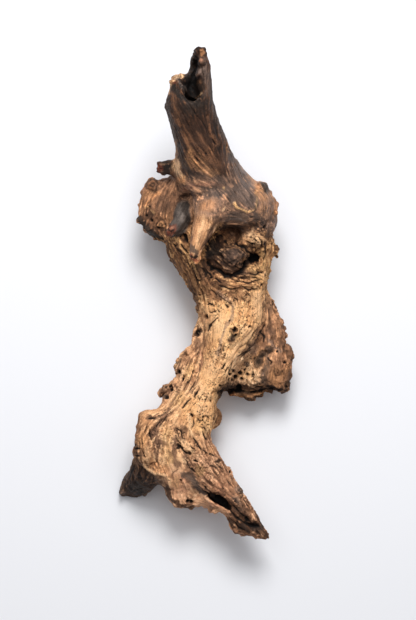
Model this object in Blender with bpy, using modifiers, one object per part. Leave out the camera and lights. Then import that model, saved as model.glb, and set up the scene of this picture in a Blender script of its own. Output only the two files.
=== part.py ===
"""A dry, weathered root, built as the one solid piece of wood that it is.

It lies on its side: a hollow broken trunk at the +Y end, a burl with root stubs, a twisted neck with a
lobe beside it, and a splayed foot at the -Y end. Run it with blender --background --python part.py.

Every limb is a loft through oval stations, and every knob an ellipsoid. They overlap, so voxel remeshing
fuses them into one skin. The hollows are cut from that skin, the thin broken walls round them are added
back, and the whole is remeshed, smoothed and roughened. The frame stands on the ground: +Z is up, +Y runs
from the foot to the trunk, and the origin is under the middle of the root's box.
"""

import math
from dataclasses import dataclass

import bmesh
import bpy
from mathutils import Matrix, Vector

MM = 0.001

# Driving sizes, in millimetres.
SIZE = 1.0              # scales the whole root, as a larger or smaller one would grow
GRAIN_CELL = 2.0        # voxel size of the fused skin
RING_SIDES = 28         # corners round a loft
STEPS = 5               # rings from one station to the next
CAP_RINGS = 3           # rings that round off a limb's end
CAP_SHARE = 0.45        # how far an end bulges, as a share of its smaller half size
BURR_CELL = 9.0         # size of the bumps all over the wood
BURR_HEIGHT = 2.6       # from the bottom of a bump to its top
WEAR_DEPTH = 1.6        # wood worn off under each foot, which leaves it flat
FLOOR_BLOCK = (220.0, 460.0, 40.0)  # the tool that wears the feet, which is wider than the root
TRIANGLE_SHARE = 0.135  # triangles kept by the last modifier that thins the skin

WOOD_COLOUR = (0.30, 0.17, 0.085, 1.0)
WOOD_ROUGHNESS = 0.72


@dataclass
class Limb:
    """A length of wood: a loft through (x, y, z, half width, half thickness), in millimetres.

    The half width lies level, across the limb's run, and the half thickness stands upright to both.
    """

    name: str
    stations: tuple
    squareness: float = 2.0  # 2 is an oval, and more is closer to a box


@dataclass
class Knob:
    """An ellipsoid: its middle and its three half sizes, in millimetres."""

    name: str
    middle: tuple
    half: tuple


LIMBS = (
    Limb("trunk", (
        (12, 74, 48, 34, 30), (4.5, 89, 63, 28, 29), (-1.5, 102, 74, 23.5, 26), (-4.5, 116, 84, 21, 22),
        (-9, 130, 92, 19.5, 20), (-12.8, 144, 100, 19, 18.5), (-13.4, 155, 106, 17, 17),
        (-17, 163.5, 109, 13.5, 13), (-20, 167, 111, 8, 9),
    )),
    Limb("burl_left", (
        (0, 66, 46, 30, 28), (-24, 68, 44, 27, 20), (-39, 70, 42, 24, 15), (-49, 73, 40, 14, 10),
    ), 2.4),
    Limb("burl_left_shelf", ((-20, 55, 34, 16, 14), (-36, 55, 33, 13, 11), (-46, 57, 33, 8, 8)), 2.3),
    Limb("burl_right", (
        (5, 62, 44, 34, 30), (26, 60, 46, 33, 28), (42, 62, 43, 27, 23), (50, 64, 40, 18, 16),
    )),
    Limb("shoulder", ((6, 76, 70, 19, 22), (21, 70.5, 67, 20.5, 20), (37, 69, 58, 18, 17), (48, 68, 47, 13, 12))),
    Limb("tusk", (
        (10, 82, 70, 22, 20), (6, 71, 78, 17, 16), (1.5, 60, 84, 11.5, 12), (-2.5, 50, 86, 9, 9.5),
        (-6, 41, 86, 7, 7.5), (-8.5, 32, 84, 5.5, 5.5), (-8.8, 27, 83, 3.8, 4.2),
    )),
    Limb("collar", (
        (8, 52, 44, 42, 34), (11, 38, 43, 42, 31), (13, 24, 42, 38, 29), (16, 10, 42, 32.5, 27),
        (18.5, 0, 42, 30, 26), (20, -10, 42, 28, 25), (21.5, -20, 43, 26, 24), (21, -30, 43, 24.5, 23.5),
        (18.5, -40, 43, 21, 22), (14, -50, 42, 17.5, 21), (10, -60, 41, 15.5, 20), (5, -70, 40, 15, 19),
        (-2, -80, 40, 15.5, 18), (-8, -90, 41, 17, 17), (-13, -100, 42, 20, 16), (-18, -110, 43, 23, 15.5),
        (-20, -122, 43, 27, 15), (-19, -136, 41, 28, 14), (-16, -148, 38, 22, 12), (-14, -156, 35, 14, 9),
    )),
    Limb("side_ridge", (
        (-2, -18, 32, 6, 9), (-3, -32, 32, 6.5, 11), (-6, -45, 33, 8.5, 12), (-13, -57, 34, 11, 13),
        (-17, -69, 35, 9.5, 13), (-23, -82, 36, 9, 12), (-32, -96, 39, 10, 12), (-40, -106, 42, 10, 11),
    )),
    Limb("lobe", (
        (47, 2, 30, 4, 7), (47, -12, 30, 8.5, 11), (47, -26, 29, 14, 13), (46, -40, 28, 18.5, 14),
        (43, -52, 27, 25.5, 14.5), (42, -64, 26, 26.5, 14), (41, -73, 25, 25, 12),
    ), 2.7),
    Limb("lobe_lip", ((12, -72, 24, 8, 9), (28, -75, 22, 8, 9), (44, -74, 22, 7, 8)), 2.2),
    Limb("fan_left", (
        (-45, -100, 43, 9, 11), (-46.5, -111, 45, 11, 13), (-47.5, -123, 45, 11.5, 13),
        (-48, -132, 42, 10, 10),
    ), 2.5),
    Limb("leg", (
        (-38, -130, 40, 17, 12), (-45, -140, 31, 15.5, 13), (-51, -149, 20, 12.5, 12),
        (-57.5, -156, 9, 11.5, 9.5), (-61, -159.5, 1, 10.5, 7.5),
    ), 2.3),
    Limb("spur", (
        (-12, -118, 44, 15, 14), (-6, -130, 43, 14, 13.5), (1.5, -142, 41.5, 14, 13), (9, -153, 40, 14, 12.5),
        (16.4, -162.7, 39, 13.5, 12), (23.8, -172.3, 38, 12.5, 11), (31.2, -180.5, 37, 10.5, 9.5),
        (39.2, -188.2, 37, 7.2, 7), (47.6, -195.6, 38.5, 3.8, 4.2),
    ), 2.2),
    Limb("belly", ((-24, -146, 35, 10, 12), (-21, -158, 33, 12.5, 12), (-15, -164.5, 32, 12, 10.5)), 2.2),
    Limb("lower_lip", (
        (-12, -164, 31, 8.5, 9), (-2, -164.5, 31, 6, 7.5), (6, -168.5, 31.5, 6.5, 7), (14, -170.2, 32, 6, 7),
        (21.3, -177.5, 33, 7, 7.5), (27.8, -184.8, 34, 7, 6.5), (35.6, -188.6, 35, 5.5, 5),
    ), 2.1),
    Limb("left_stub", ((-14, 97, 64, 8, 9), (-25, 100, 62, 5.6, 6.4), (-32, 100.6, 61, 5, 5.6),
                       (-37, 100, 60, 4.4, 5))),
    Limb("heel_right", ((36, 58, 30, 15, 14), (38, 50, 14, 13, 11), (38, 45, 3, 10, 8))),
    Limb("heel_left", ((-24, 72, 30, 17, 15), (-27, 80, 14, 13, 11), (-28, 85, 3, 10, 8))),
    Limb("under_root", ((20, 30, 26, 14, 12), (16, 4, 20, 10, 10), (8, -22, 20, 7.5, 8), (10, -44, 26, 6, 7))),
)

KNOBS = (
    Knob("plate_corner", (-44.5, 87, 45), (6, 6, 9)),
    Knob("plate_rim", (-49, 77, 42), (5, 7, 8)),
    Knob("plate_tip", (-49.6, 66, 40), (5.2, 7, 8)),
    Knob("plate_hook", (-44, 53, 33), (5, 5, 7)),
    Knob("plate_drip", (-38, 47, 31), (5, 5, 7)),
    Knob("waist_upper", (-26, 33, 36), (6, 8, 9)),
    Knob("waist_middle", (-24, 25, 34), (4, 5, 7)),
    Knob("waist_lower", (-19, 16, 34), (4.5, 4, 7)),
    Knob("dark_shoulder", (46.5, 84.5, 52), (5.5, 5.5, 8)),
    Knob("pale_shoulder", (52, 70.5, 45), (6.8, 7.5, 10)),
    Knob("right_cheek", (50, 58, 42), (5.4, 8.6, 11)),
    Knob("right_thorn", (53, 34.5, 38), (4, 4, 7)),
    Knob("right_root", (49, 42, 38), (6, 8, 9)),
    Knob("right_waist", (46.5, 22, 40), (5, 9, 12)),
    Knob("trunk_foot", (25.5, 103, 66), (3.6, 4, 6)),
    Knob("neck_edge", (-5, -29, 31), (3.5, 5, 7)),
    Knob("ridge_knob", (-20.5, -57, 36), (4.6, 5.4, 8)),
    Knob("ridge_step", (-12, -47, 34), (5, 5, 8)),
    Knob("ridge_thorn", (-32.5, -79, 33), (5.5, 4, 6)),
    Knob("ridge_burr", (-28, -75.5, 35), (5.5, 4.5, 7)),
    Knob("lobe_corner", (60, -72, 25), (7.5, 8, 11)),
    Knob("lobe_thorn", (64.5, -50.5, 30), (4.4, 4, 6)),
    Knob("lobe_cheek", (61, -62, 28), (7.4, 9, 10)),
    Knob("hidden_stub", (4.5, -99, 27), (7.8, 12, 9)),
    Knob("socket_lump", (21, 28.5, 61), (14, 10.5, 17)),
    Knob("pale_lump", (38, 43.5, 60), (8, 7, 14)),
    Knob("fan_corner", (-47.5, -100.5, 44), (8.5, 8, 9)),
    Knob("lip_burr", (5.5, -172.3, 30), (4, 4, 5)),
    Knob("leg_heel", (-66, -161.5, 4), (5.6, 5, 7)),
)

HOLLOWS = (
    Limb("trunk_hollow", (
        (-7, 128, 93, 3, 3), (-9, 142, 103, 5.5, 5.5), (-10, 153, 112, 7, 8),
        (-10.5, 162, 119, 7.5, 10), (-11, 172, 126, 8, 14), (-11.5, 186, 134, 9, 20),
    )),
    Limb("stub_alcove", ((-15, 80, 80, 5, 5), (-16.5, 72, 72, 6.5, 9), (-17, 64, 70, 6, 11),
                         (-18, 55, 76, 7, 10))),
    Limb("socket", ((3, 36, 76, 6, 7), (9, 41, 76, 9, 12), (17, 45, 77, 9, 13), (25, 46, 78, 6.5, 11),
                    (31, 45, 79, 4, 8))),
    Limb("slot", ((-8, -154, 49, 2.6, 4), (0, -159, 47, 3, 6), (7, -162.7, 47, 3.6, 8),
                  (13, -166.5, 46, 3.6, 8), (17.8, -172.3, 46, 2.6, 5))),
    Limb("cheek_pit", ((37, 29, 56, 3.5, 3.5), (41, 28, 66, 6, 6))),
    Limb("under_bay", ((-8, 52, 2, 17, 16), (2, 70, 0, 18, 17), (10, 84, 6, 18, 14)), 2.2),
)

BROKEN_WALLS = (
    Limb("tall_splinter", (
        (-0.5, 143, 100, 6, 9), (-1, 154, 108, 5.4, 10), (-2, 166, 114, 5.2, 9), (-3.3, 177, 119, 5.2, 7),
        (-4.6, 185, 122, 5, 5), (-5.2, 189.5, 124, 4.4, 4),
    )),
    Limb("back_splinter", ((-9, 148, 90, 7, 4), (-10.4, 163, 98, 4, 4), (-10, 175, 104, 3.8, 3.8),
                           (-8.4, 185, 111, 3.8, 3.6))),
    Limb("grey_stub", ((-17, 76, 54, 6, 6), (-16.8, 67, 62, 6.6, 6.4), (-18.8, 58.5, 68, 6.9, 6.6),
                       (-23, 52.6, 71, 6.4, 6.2), (-26.8, 49, 72, 5.2, 5))),
)


def smooth_stations(stations):
    """The stations with more between them, on a Catmull-Rom curve through all five of their numbers."""
    points = [Vector(s) for s in stations]
    points = [points[0] * 2 - points[1], *points, points[-1] * 2 - points[-2]]
    dense = []
    for before, start, end, after in zip(points, points[1:], points[2:], points[3:]):
        for step in range(STEPS):
            t = step / STEPS
            dense.append(0.5 * (
                start * 2 + (end - before) * t
                + (before * 2 - start * 5 + end * 4 - after) * t ** 2
                + (start * 3 - before - end * 3 + after) * t ** 3
            ))
    return [*dense, points[-2]]


def rounded_ends(stations):
    """The stations with short shrinking ones added at both ends, so that the limb ends in a dome."""
    ends = []
    for end, inner in ((stations[0], stations[1]), (stations[-1], stations[-2])):
        outward = (end.to_3d() - inner.to_3d()).normalized()
        reach = CAP_SHARE * min(end[3], end[4])
        cap = []
        for ring in range(1, CAP_RINGS + 1):
            angle = 0.5 * math.pi * ring / (CAP_RINGS + 0.6)
            centre = end.to_3d() + outward * reach * math.sin(angle)
            cap.append(Vector((*centre, end[3] * math.cos(angle), end[4] * math.cos(angle))))
        ends.append(cap)
    return [*reversed(ends[0]), *stations, *ends[1]]


def ring_of(station, tangent, squareness):
    """The points of one oval ring, across the tangent."""
    side = tangent.cross(Vector((0, 0, 1)))
    side = side.normalized() if side.length > 0.05 else Vector((1, 0, 0))
    upright = side.cross(tangent).normalized()
    power = 2 / squareness
    points = []
    for corner in range(RING_SIDES):
        angle = 2 * math.pi * corner / RING_SIDES
        across = math.copysign(abs(math.cos(angle)) ** power, math.cos(angle)) * station[3]
        above = math.copysign(abs(math.sin(angle)) ** power, math.sin(angle)) * station[4]
        points.append(station.to_3d() + side * across + upright * above)
    return points


def add_limb(bm, limb):
    """Adds a limb's closed loft to the mesh."""
    stations = rounded_ends(smooth_stations(limb.stations))
    centres = [s.to_3d() for s in stations]
    rings = []
    for i, station in enumerate(stations):
        tangent = (centres[min(i + 1, len(centres) - 1)] - centres[max(i - 1, 0)]).normalized()
        rings.append([bm.verts.new(p) for p in ring_of(station, tangent, limb.squareness)])
    for ring, following in zip(rings, rings[1:]):
        for corner in range(RING_SIDES):
            other = (corner + 1) % RING_SIDES
            bm.faces.new((ring[corner], ring[other], following[other], following[corner]))
    bm.faces.new(reversed(rings[0]))
    bm.faces.new(rings[-1])


def add_knob(bm, knob):
    """Adds a knob's ellipsoid to the mesh."""
    place = Matrix.Translation(knob.middle) @ Matrix.Diagonal((*knob.half, 1))
    bmesh.ops.create_icosphere(bm, subdivisions=3, radius=1, matrix=place)


def wood_object(name, limbs, knobs, collection):
    """An object whose mesh holds these limbs and knobs as overlapping closed shells, in metres."""
    bm = bmesh.new()
    for limb in limbs:
        add_limb(bm, limb)
    for knob in knobs:
        add_knob(bm, knob)
    bmesh.ops.recalc_face_normals(bm, faces=bm.faces)
    bmesh.ops.transform(bm, matrix=Matrix.Scale(MM * SIZE, 4), verts=bm.verts)
    mesh = bpy.data.meshes.new(name)
    bm.to_mesh(mesh)
    bm.free()
    made = bpy.data.objects.new(name, mesh)
    collection.objects.link(made)
    return made


def fuse(obj, name):
    """Fuses the object's overlapping shells into one skin."""
    remesh = obj.modifiers.new(name, "REMESH")
    remesh.mode = "VOXEL"
    remesh.voxel_size = GRAIN_CELL * MM * SIZE
    return remesh


def combine(obj, name, operation, other):
    """Cuts the other object from this one, or joins it on."""
    boolean = obj.modifiers.new(name, "BOOLEAN")
    boolean.operation = operation
    boolean.solver = "EXACT"
    boolean.object = other


def as_helper(obj):
    """Marks an object as a tool or a piece that another object takes in."""
    obj.hide_render = True
    obj.display_type = "WIRE"
    return obj


def floor_tool(collection):
    """The block whose top is the ground, and which wears each foot flat."""
    bm = bmesh.new()
    place = Matrix.Translation((0, 0, WEAR_DEPTH - FLOOR_BLOCK[2] / 2)) @ Matrix.Diagonal((*FLOOR_BLOCK, 1))
    bmesh.ops.create_cube(bm, size=1, matrix=place)
    bmesh.ops.transform(bm, matrix=Matrix.Scale(MM * SIZE, 4), verts=bm.verts)
    mesh = bpy.data.meshes.new("floor_tool")
    bm.to_mesh(mesh)
    bm.free()
    made = bpy.data.objects.new("floor_tool", mesh)
    collection.objects.link(made)
    return as_helper(made)


def roughen(obj):
    """Adds the soft bumps that the whole surface has."""
    texture = bpy.data.textures.new("burr", "CLOUDS")
    texture.noise_scale = BURR_CELL * MM * SIZE
    texture.noise_depth = 2
    texture.noise_basis = "IMPROVED_PERLIN"
    displace = obj.modifiers.new("burr", "DISPLACE")
    displace.texture = texture
    displace.texture_coords = "LOCAL"
    displace.direction = "NORMAL"
    displace.mid_level = 0.5
    displace.strength = BURR_HEIGHT * MM * SIZE


def wood_material():
    """Plain dry wood."""
    material = bpy.data.materials.new("dry_wood")
    material.use_nodes = True
    shader = material.node_tree.nodes["Principled BSDF"]
    shader.inputs["Base Color"].default_value = WOOD_COLOUR
    shader.inputs["Roughness"].default_value = WOOD_ROUGHNESS
    shader.inputs["Metallic"].default_value = 0.0
    return material


def clear_scene():
    """Removes whatever the scene holds."""
    for obj in list(bpy.data.objects):
        bpy.data.objects.remove(obj, do_unlink=True)


def collection_named(name):
    """A new collection in the scene."""
    made = bpy.data.collections.new(name)
    bpy.context.scene.collection.children.link(made)
    return made


def stand_on_origin(obj, base):
    """Moves the base, and all that hangs on it, until the object's box stands on the origin."""
    bpy.context.view_layer.update()
    seen = obj.evaluated_get(bpy.context.evaluated_depsgraph_get())
    points = [seen.matrix_world @ vertex.co for vertex in seen.data.vertices]
    low = Vector(min(p[axis] for p in points) for axis in range(3))
    high = Vector(max(p[axis] for p in points) for axis in range(3))
    base.location -= Vector(((low.x + high.x) / 2, (low.y + high.y) / 2, low.z))


def make_root():
    """Builds the root and its helpers."""
    clear_scene()
    parts = collection_named("dry_root")
    helpers = collection_named("helpers")
    base = bpy.data.objects.new("base", None)
    parts.objects.link(base)

    hollows = as_helper(wood_object("hollows", HOLLOWS, (), helpers))
    fuse(hollows, "one_skin")
    walls = as_helper(wood_object("broken_walls", BROKEN_WALLS, (), helpers))
    fuse(walls, "one_skin")

    root = wood_object("root_wood", LIMBS, KNOBS, parts)
    fuse(root, "one_skin")
    combine(root, "hollows", "DIFFERENCE", hollows)
    combine(root, "broken_walls", "UNION", walls)
    fuse(root, "even_skin")
    smooth = root.modifiers.new("weathered", "SMOOTH")
    smooth.factor = 0.5
    smooth.iterations = 6
    roughen(root)
    thin = root.modifiers.new("thin", "DECIMATE")
    thin.ratio = TRIANGLE_SHARE
    floor = floor_tool(helpers)
    combine(root, "worn_feet", "DIFFERENCE", floor)

    for obj in (root, hollows, walls, floor):
        obj.parent = base
    stand_on_origin(root, base)
    root.data.materials.append(wood_material())
    root.data.shade_smooth()


make_root()
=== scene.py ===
"""The looks of a dry root: its worn and cracked skin, its colours, and a studio to see it in.

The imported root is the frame. One fine skin is remade from it and stands for it. Most places below are marks
on a drawing of the root seen from above, in millimetres: x to the right, y from the splayed foot to the
broken trunk. A mark is a crack, a hole, a knot, a streak or a wash of colour, and the skin takes its relief
and its colours from them. The wood's grain runs along short strokes on the same drawing.
"""

from __future__ import annotations

import logging
import math
from collections.abc import Sequence
from dataclasses import dataclass, field
from enum import Enum
from itertools import product

import bmesh
import bpy
import numpy as np
from mathutils import Matrix, Vector
from mathutils.bvhtree import BVHTree


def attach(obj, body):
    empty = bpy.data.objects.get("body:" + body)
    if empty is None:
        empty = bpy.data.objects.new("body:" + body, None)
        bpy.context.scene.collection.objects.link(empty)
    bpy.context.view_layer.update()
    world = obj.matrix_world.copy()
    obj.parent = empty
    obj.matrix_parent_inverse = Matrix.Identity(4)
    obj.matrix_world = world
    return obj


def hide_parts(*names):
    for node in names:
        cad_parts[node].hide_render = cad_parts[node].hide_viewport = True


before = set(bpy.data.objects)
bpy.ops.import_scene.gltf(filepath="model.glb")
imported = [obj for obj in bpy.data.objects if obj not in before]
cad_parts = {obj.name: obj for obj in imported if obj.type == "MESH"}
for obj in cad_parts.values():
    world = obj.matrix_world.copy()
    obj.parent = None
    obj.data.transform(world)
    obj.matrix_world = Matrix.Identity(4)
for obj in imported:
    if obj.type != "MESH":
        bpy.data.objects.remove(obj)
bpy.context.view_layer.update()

log = logging.getLogger("dry_root")

NODE = "root_wood"
MM = 0.001
DRAWING_ZERO = np.array((1.288, 3.654))  # the drawing's zero on the ground, in mm from the frame's origin
EYE = np.array((1.6, -13.6))             # where the drawing was seen from, in its own mm
EYE_HEIGHT = 2600.0                      # mm over the ground
DRAWING_LEVEL = 50.0                     # mm over the ground, where the drawing is at full size


# ---- Tones and finishes ----


class Tone(Enum):
    """The wood's colours, in sRGB out of 255."""

    BLACK = (24, 17, 14)
    CHAR = (44, 35, 29)
    UMBER = (58, 37, 25)
    BARK = (88, 63, 48)
    CHESTNUT = (122, 83, 57)
    TAN = (178, 127, 86)
    ORANGE = (203, 141, 93)
    STRAW = (212, 165, 112)
    PALE = (246, 197, 148)
    ASH = (116, 96, 85)
    SLATE = (74, 61, 54)
    PINK = (182, 128, 99)
    RUST = (124, 62, 42)
    MIST = (132, 119, 110)
    DRAB = (108, 78, 59)

    @property
    def rgb(self) -> np.ndarray:
        """The tone as three numbers from 0 to 1."""
        return np.array(self.value, float) / 255


BLACK, CHAR, UMBER, BARK, CHESTNUT, TAN, ORANGE, STRAW, PALE, ASH, SLATE, PINK, RUST, MIST, DRAB = Tone


@dataclass(frozen=True)
class WoodFinish:
    """How one kind of wood on the root looks and feels.

    Three colours run from the wood's dark streaks to its light ones. Heights are in millimetres.
    """

    dark: tuple[int, int, int]
    middle: tuple[int, int, int]
    light: tuple[int, int, int]
    streaks: float = 1.0      # how strongly the grain shows in the colour
    mottle: float = 0.6       # how strongly broad patches show in it
    fibre: float = 0.30       # height of the fibres
    lumps: float = 0.5        # height of the broad lumps
    checks: float = 0.3       # share of the small drying cracks that open
    pits: float = 0.1         # share of the borers' pits
    roughness: float = 0.72


class Region(Enum):
    """The kinds of wood, each with its finish."""

    TRUNK = WoodFinish((32, 22, 17), (54, 36, 27), (112, 76, 53), 1.2, 0.6, 0.26, 0.3, 0.25, 0.03, 0.56)
    BURL = WoodFinish((68, 54, 46), (130, 99, 80), (218, 162, 122), 0.8, 1, 0.18, 0.4, 0.2, 0.04, 0.46)
    PLATE = WoodFinish((70, 48, 35), (130, 91, 65), (202, 148, 107), 0.8, 1.2, 0.28, 0.8, 0.3, 0.15, 0.66)
    TUSK = WoodFinish((158, 108, 75), (216, 160, 114), (246, 203, 158), 0.6, 0.8, 0.14, 0.2, 0.08, 0.02, 0.5)
    STUB = WoodFinish((48, 42, 38), (76, 67, 61), (112, 101, 92), 0.7, 0.5, 0.14, 0.2, 0.04, 0, 0.55)
    COLLAR = WoodFinish((72, 47, 30), (150, 106, 69), (226, 174, 119), 1, 1.2, 0.5, 1.6, 0.85, 0.5, 0.8)
    SLAB = WoodFinish((36, 26, 21), (74, 56, 46), (134, 100, 78), 1.5, 0.6, 0.6, 0.3, 0.6, 0, 0.62)
    STRINGS = WoodFinish((66, 45, 30), (132, 93, 62), (196, 149, 101), 1.3, 0.5, 0.55, 0.9, 0.6, 0.3, 0.78)
    NECK = WoodFinish((178, 123, 79), (236, 181, 126), (248, 205, 152), 0.6, 0.6, 0.26, 0.5, 0.6, 0.95, 0.8)
    RIDGE = WoodFinish((120, 85, 62), (214, 161, 118), (246, 198, 150), 0.9, 1, 0.4, 1.1, 0.5, 0.5, 0.74)
    LOBE = WoodFinish((74, 51, 37), (152, 108, 78), (222, 164, 119), 0.6, 1.4, 0.4, 1.4, 0.6, 0.75, 0.68)
    LOBE_PALE = WoodFinish(
        (178, 130, 92), (244, 194, 147), (253, 218, 176), 0.7, 0.8, 0.3, 0.6, 0.5, 0.9, 0.76)
    # The lower lip under the lobe: wood darker than the lobe's, as painted shade under its overhang.
    SHADED_UNDERLIP = WoodFinish((34, 24, 18), (72, 50, 36), (156, 111, 74), 0.9, 1, 0.5, 1.6, 0.7, 0.5, 0.8)
    FAN = WoodFinish((148, 104, 73), (226, 172, 125), (246, 202, 154), 0.8, 0.9, 0.42, 0.7, 0.6, 0.7, 0.76)
    FAN_EDGE = WoodFinish((82, 58, 42), (146, 104, 72), (198, 147, 104), 1, 0.8, 0.36, 0.8, 0.5, 0.3, 0.74)
    SPUR = WoodFinish((88, 59, 43), (166, 119, 88), (224, 172, 132), 1.1, 1.1, 0.46, 0.9, 0.6, 0.45, 0.7)
    BELLY = WoodFinish((150, 106, 77), (214, 160, 121), (242, 196, 154), 0.4, 1, 0.2, 0.6, 0.25, 0.15, 0.66)
    LEG = WoodFinish((26, 18, 13), (58, 42, 33), (114, 86, 66), 1.3, 0.6, 0.34, 0.6, 0.35, 0.1, 0.62)


# Where each kind of wood is, as places on the drawing. Every point of the skin takes after the nearest ones.
REGION_PLACES: dict[Region, tuple[float, ...]] = {
    Region.TRUNK: (-12, 165, -10, 148, -24, 155, -8, 132, 0, 116, -5, 104, 10, 108, -20, 120, 5, 135,
                   -3, 180, -18, 100, 16, 118),
    Region.BURL: (10, 86, 28, 84, 40, 80, -8, 84, 20, 66, 34, 58, 45, 64, 53, 74, 48, 88, 2, 93, 20, 97,
                  54, 58, 26, 54),
    Region.PLATE: (-40, 80, -30, 72, -48, 66, -38, 58, -30, 86, -30, 54, -45, 89),
    Region.STRINGS: (-20, 40, -14, 28, -10, 14, -28, 38, -8, 4, -18, 20),
    Region.SLAB: (15, 31, 21, 27, 26, 26, 20, 21, 27, 21),
    Region.COLLAR: (10, 42, 33, 43, 45, 38, 38, 22, 24, 9, 8, 12, 46, 16, 2, 27),
    Region.NECK: (10, -5, 30, -5, 20, -20, 38, -14, 8, -30, 25, -38, 5, -50, 12, -60, 0, -70, -5, -85,
                  0, -100, -12, -100, 0, -12, 44, -6),
    Region.RIDGE: (-8, -32, -12, -48, -19, -60, -25, -72, -31, -81, -8, -20, -14, -72),
    Region.LOBE: (55, -12, 56, -30, 50, -45, 61, -55, 53, -66, 60, -72, 43, -52),
    Region.LOBE_PALE: (31, -67, 38, -66, 26, -60),
    Region.SHADED_UNDERLIP: (24, -79, 38, -79, 52, -79, 62, -79),
    Region.FAN: (-30, -100, -22, -110, -35, -120, -45, -112, -25, -130, -35, -135, -12, -120, -44, -128,
                 -44, -100),
    Region.FAN_EDGE: (-55, -104, -56, -118, -57, -129),
    Region.SPUR: (6, -126, 13, -141, 22, -155, 31, -170, 5, -145, 40, -184, -2, -135),
    Region.BELLY: (-20, -152, -18, -163, -26, -146, -5, -165),
    Region.LEG: (-52, -146, -60, -155, -44, -152, -66, -160, -60, -140),
}
BRIGHTEST = 0.95    # the brightest that the painted highlight on raised fibres lifts wood to, so that its colour doesn't bleach
SHADE_TINT = np.array((0.88, 1.0, 1.10))  # how strongly the painted shade in crevices and where wood is all around darkens red, green and blue
REGION_REACH = 8.5  # mm over which one kind of wood gives way to the next
TINY = 1e-9         # keeps a division from failing where there is nothing to divide by
NO_SHARE = 1e-12    # the same, for shares of wood


class Limb(Enum):
    """Limbs that stand clear of the root's body.

    Each is a line of (x, y, z) and a reach, in mm, and then the share of its length over which its own wood
    fades in.
    """

    BODY = ((), 0.0, 0.0)
    TUSK = (((4, 64, 84), (-1, 56, 84), (-4, 46, 85), (-7, 37, 84), (-8.7, 28, 82), (-9, 23, 82)), 12.5, 0.35)
    STUB = (((-17, 70, 57), (-17, 66, 61), (-18.8, 58.5, 66), (-23, 52.6, 69.5), (-29, 47, 70.5)), 8.5, 0.15)
    LEFT_STUB = (((-27, 100, 60), (-32, 100.6, 59.5), (-41, 100, 58.5)), 9.5, 0.1)

    @property
    def line(self) -> np.ndarray:
        """The limb's middle line."""
        return np.array(self.value[0], float)

    @property
    def reach(self) -> float:
        """How far the limb's skin lies from that line, at most."""
        return self.value[1]

    @property
    def fade(self) -> float:
        """The share of its length over which the limb's own wood fades in."""
        return self.value[2]


BODY, TUSK, STUB, LEFT_STUB = Limb


# ---- Marks on the drawing ----

Path2 = tuple[tuple[float, float], ...]


@dataclass(frozen=True)
class Wash:
    """A soft oval of colour."""

    x: float
    y: float
    half_x: float
    half_y: float
    tone: Tone
    strength: float = 0.8
    turn: float = 0.0
    limb: Limb = BODY


@dataclass(frozen=True)
class Streak:
    """A ragged line of colour."""

    path: Path2
    width: float
    tone: Tone
    strength: float = 0.8
    limb: Limb = BODY


@dataclass(frozen=True)
class Crack:
    """An open crack, sunk into the skin, dark inside with painted shade."""

    path: Path2
    width: float = 1.2
    depth: float = 1.6
    limb: Limb = BODY


@dataclass(frozen=True)
class Ridge:
    """A raised line of wood, or a sunk one if its height is less than nothing."""

    path: Path2
    width: float
    height: float
    limb: Limb = BODY


@dataclass(frozen=True)
class Hole:
    """A hole that a borer or a lost twig left; its inside is painted dark as shade."""

    x: float
    y: float
    radius: float = 1.3
    depth: float = 3.0
    rim: float = 0.0


@dataclass(frozen=True)
class Knot:
    """The foot of a lost twig: a low boss with rings, round which the grain swerves."""

    x: float
    y: float
    half_x: float
    half_y: float
    turn: float = 0.0
    height: float = 0.6
    tone: Tone = UMBER


@dataclass(frozen=True)
class Fringe:
    """A ragged edge: knobs strewn along a stretch of the root's outline."""

    path: Path2
    size: float
    every: float
    out: float    # how far a knob's middle stands out, as a share of its size


@dataclass(frozen=True)
class Burr:
    """A single knob, drawn out along the way it points; one with no level sits on the outline."""

    x: float
    y: float
    size: float
    length: float = 1.0
    points_to: float = 0.0    # degrees from the drawing's x
    level: float = 0.0        # mm over the ground


def corners(flat: Sequence[float]) -> Path2:
    """Pairs up numbers into the corners of a line.

    Args:
        flat: x and y of each corner, one after the other.

    Returns:
        The corners.
    """
    return tuple(zip(flat[::2], flat[1::2]))


def colour_mark(row: tuple) -> Wash | Streak:
    """Reads one row of the colours.

    Args:
        row: the numbers of a wash, or of a streak if they start with its line.

    Returns:
        The mark.
    """
    if isinstance(row[0], tuple):
        return Streak(corners(row[0]), *row[1:])
    return Wash(*row)


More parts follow.
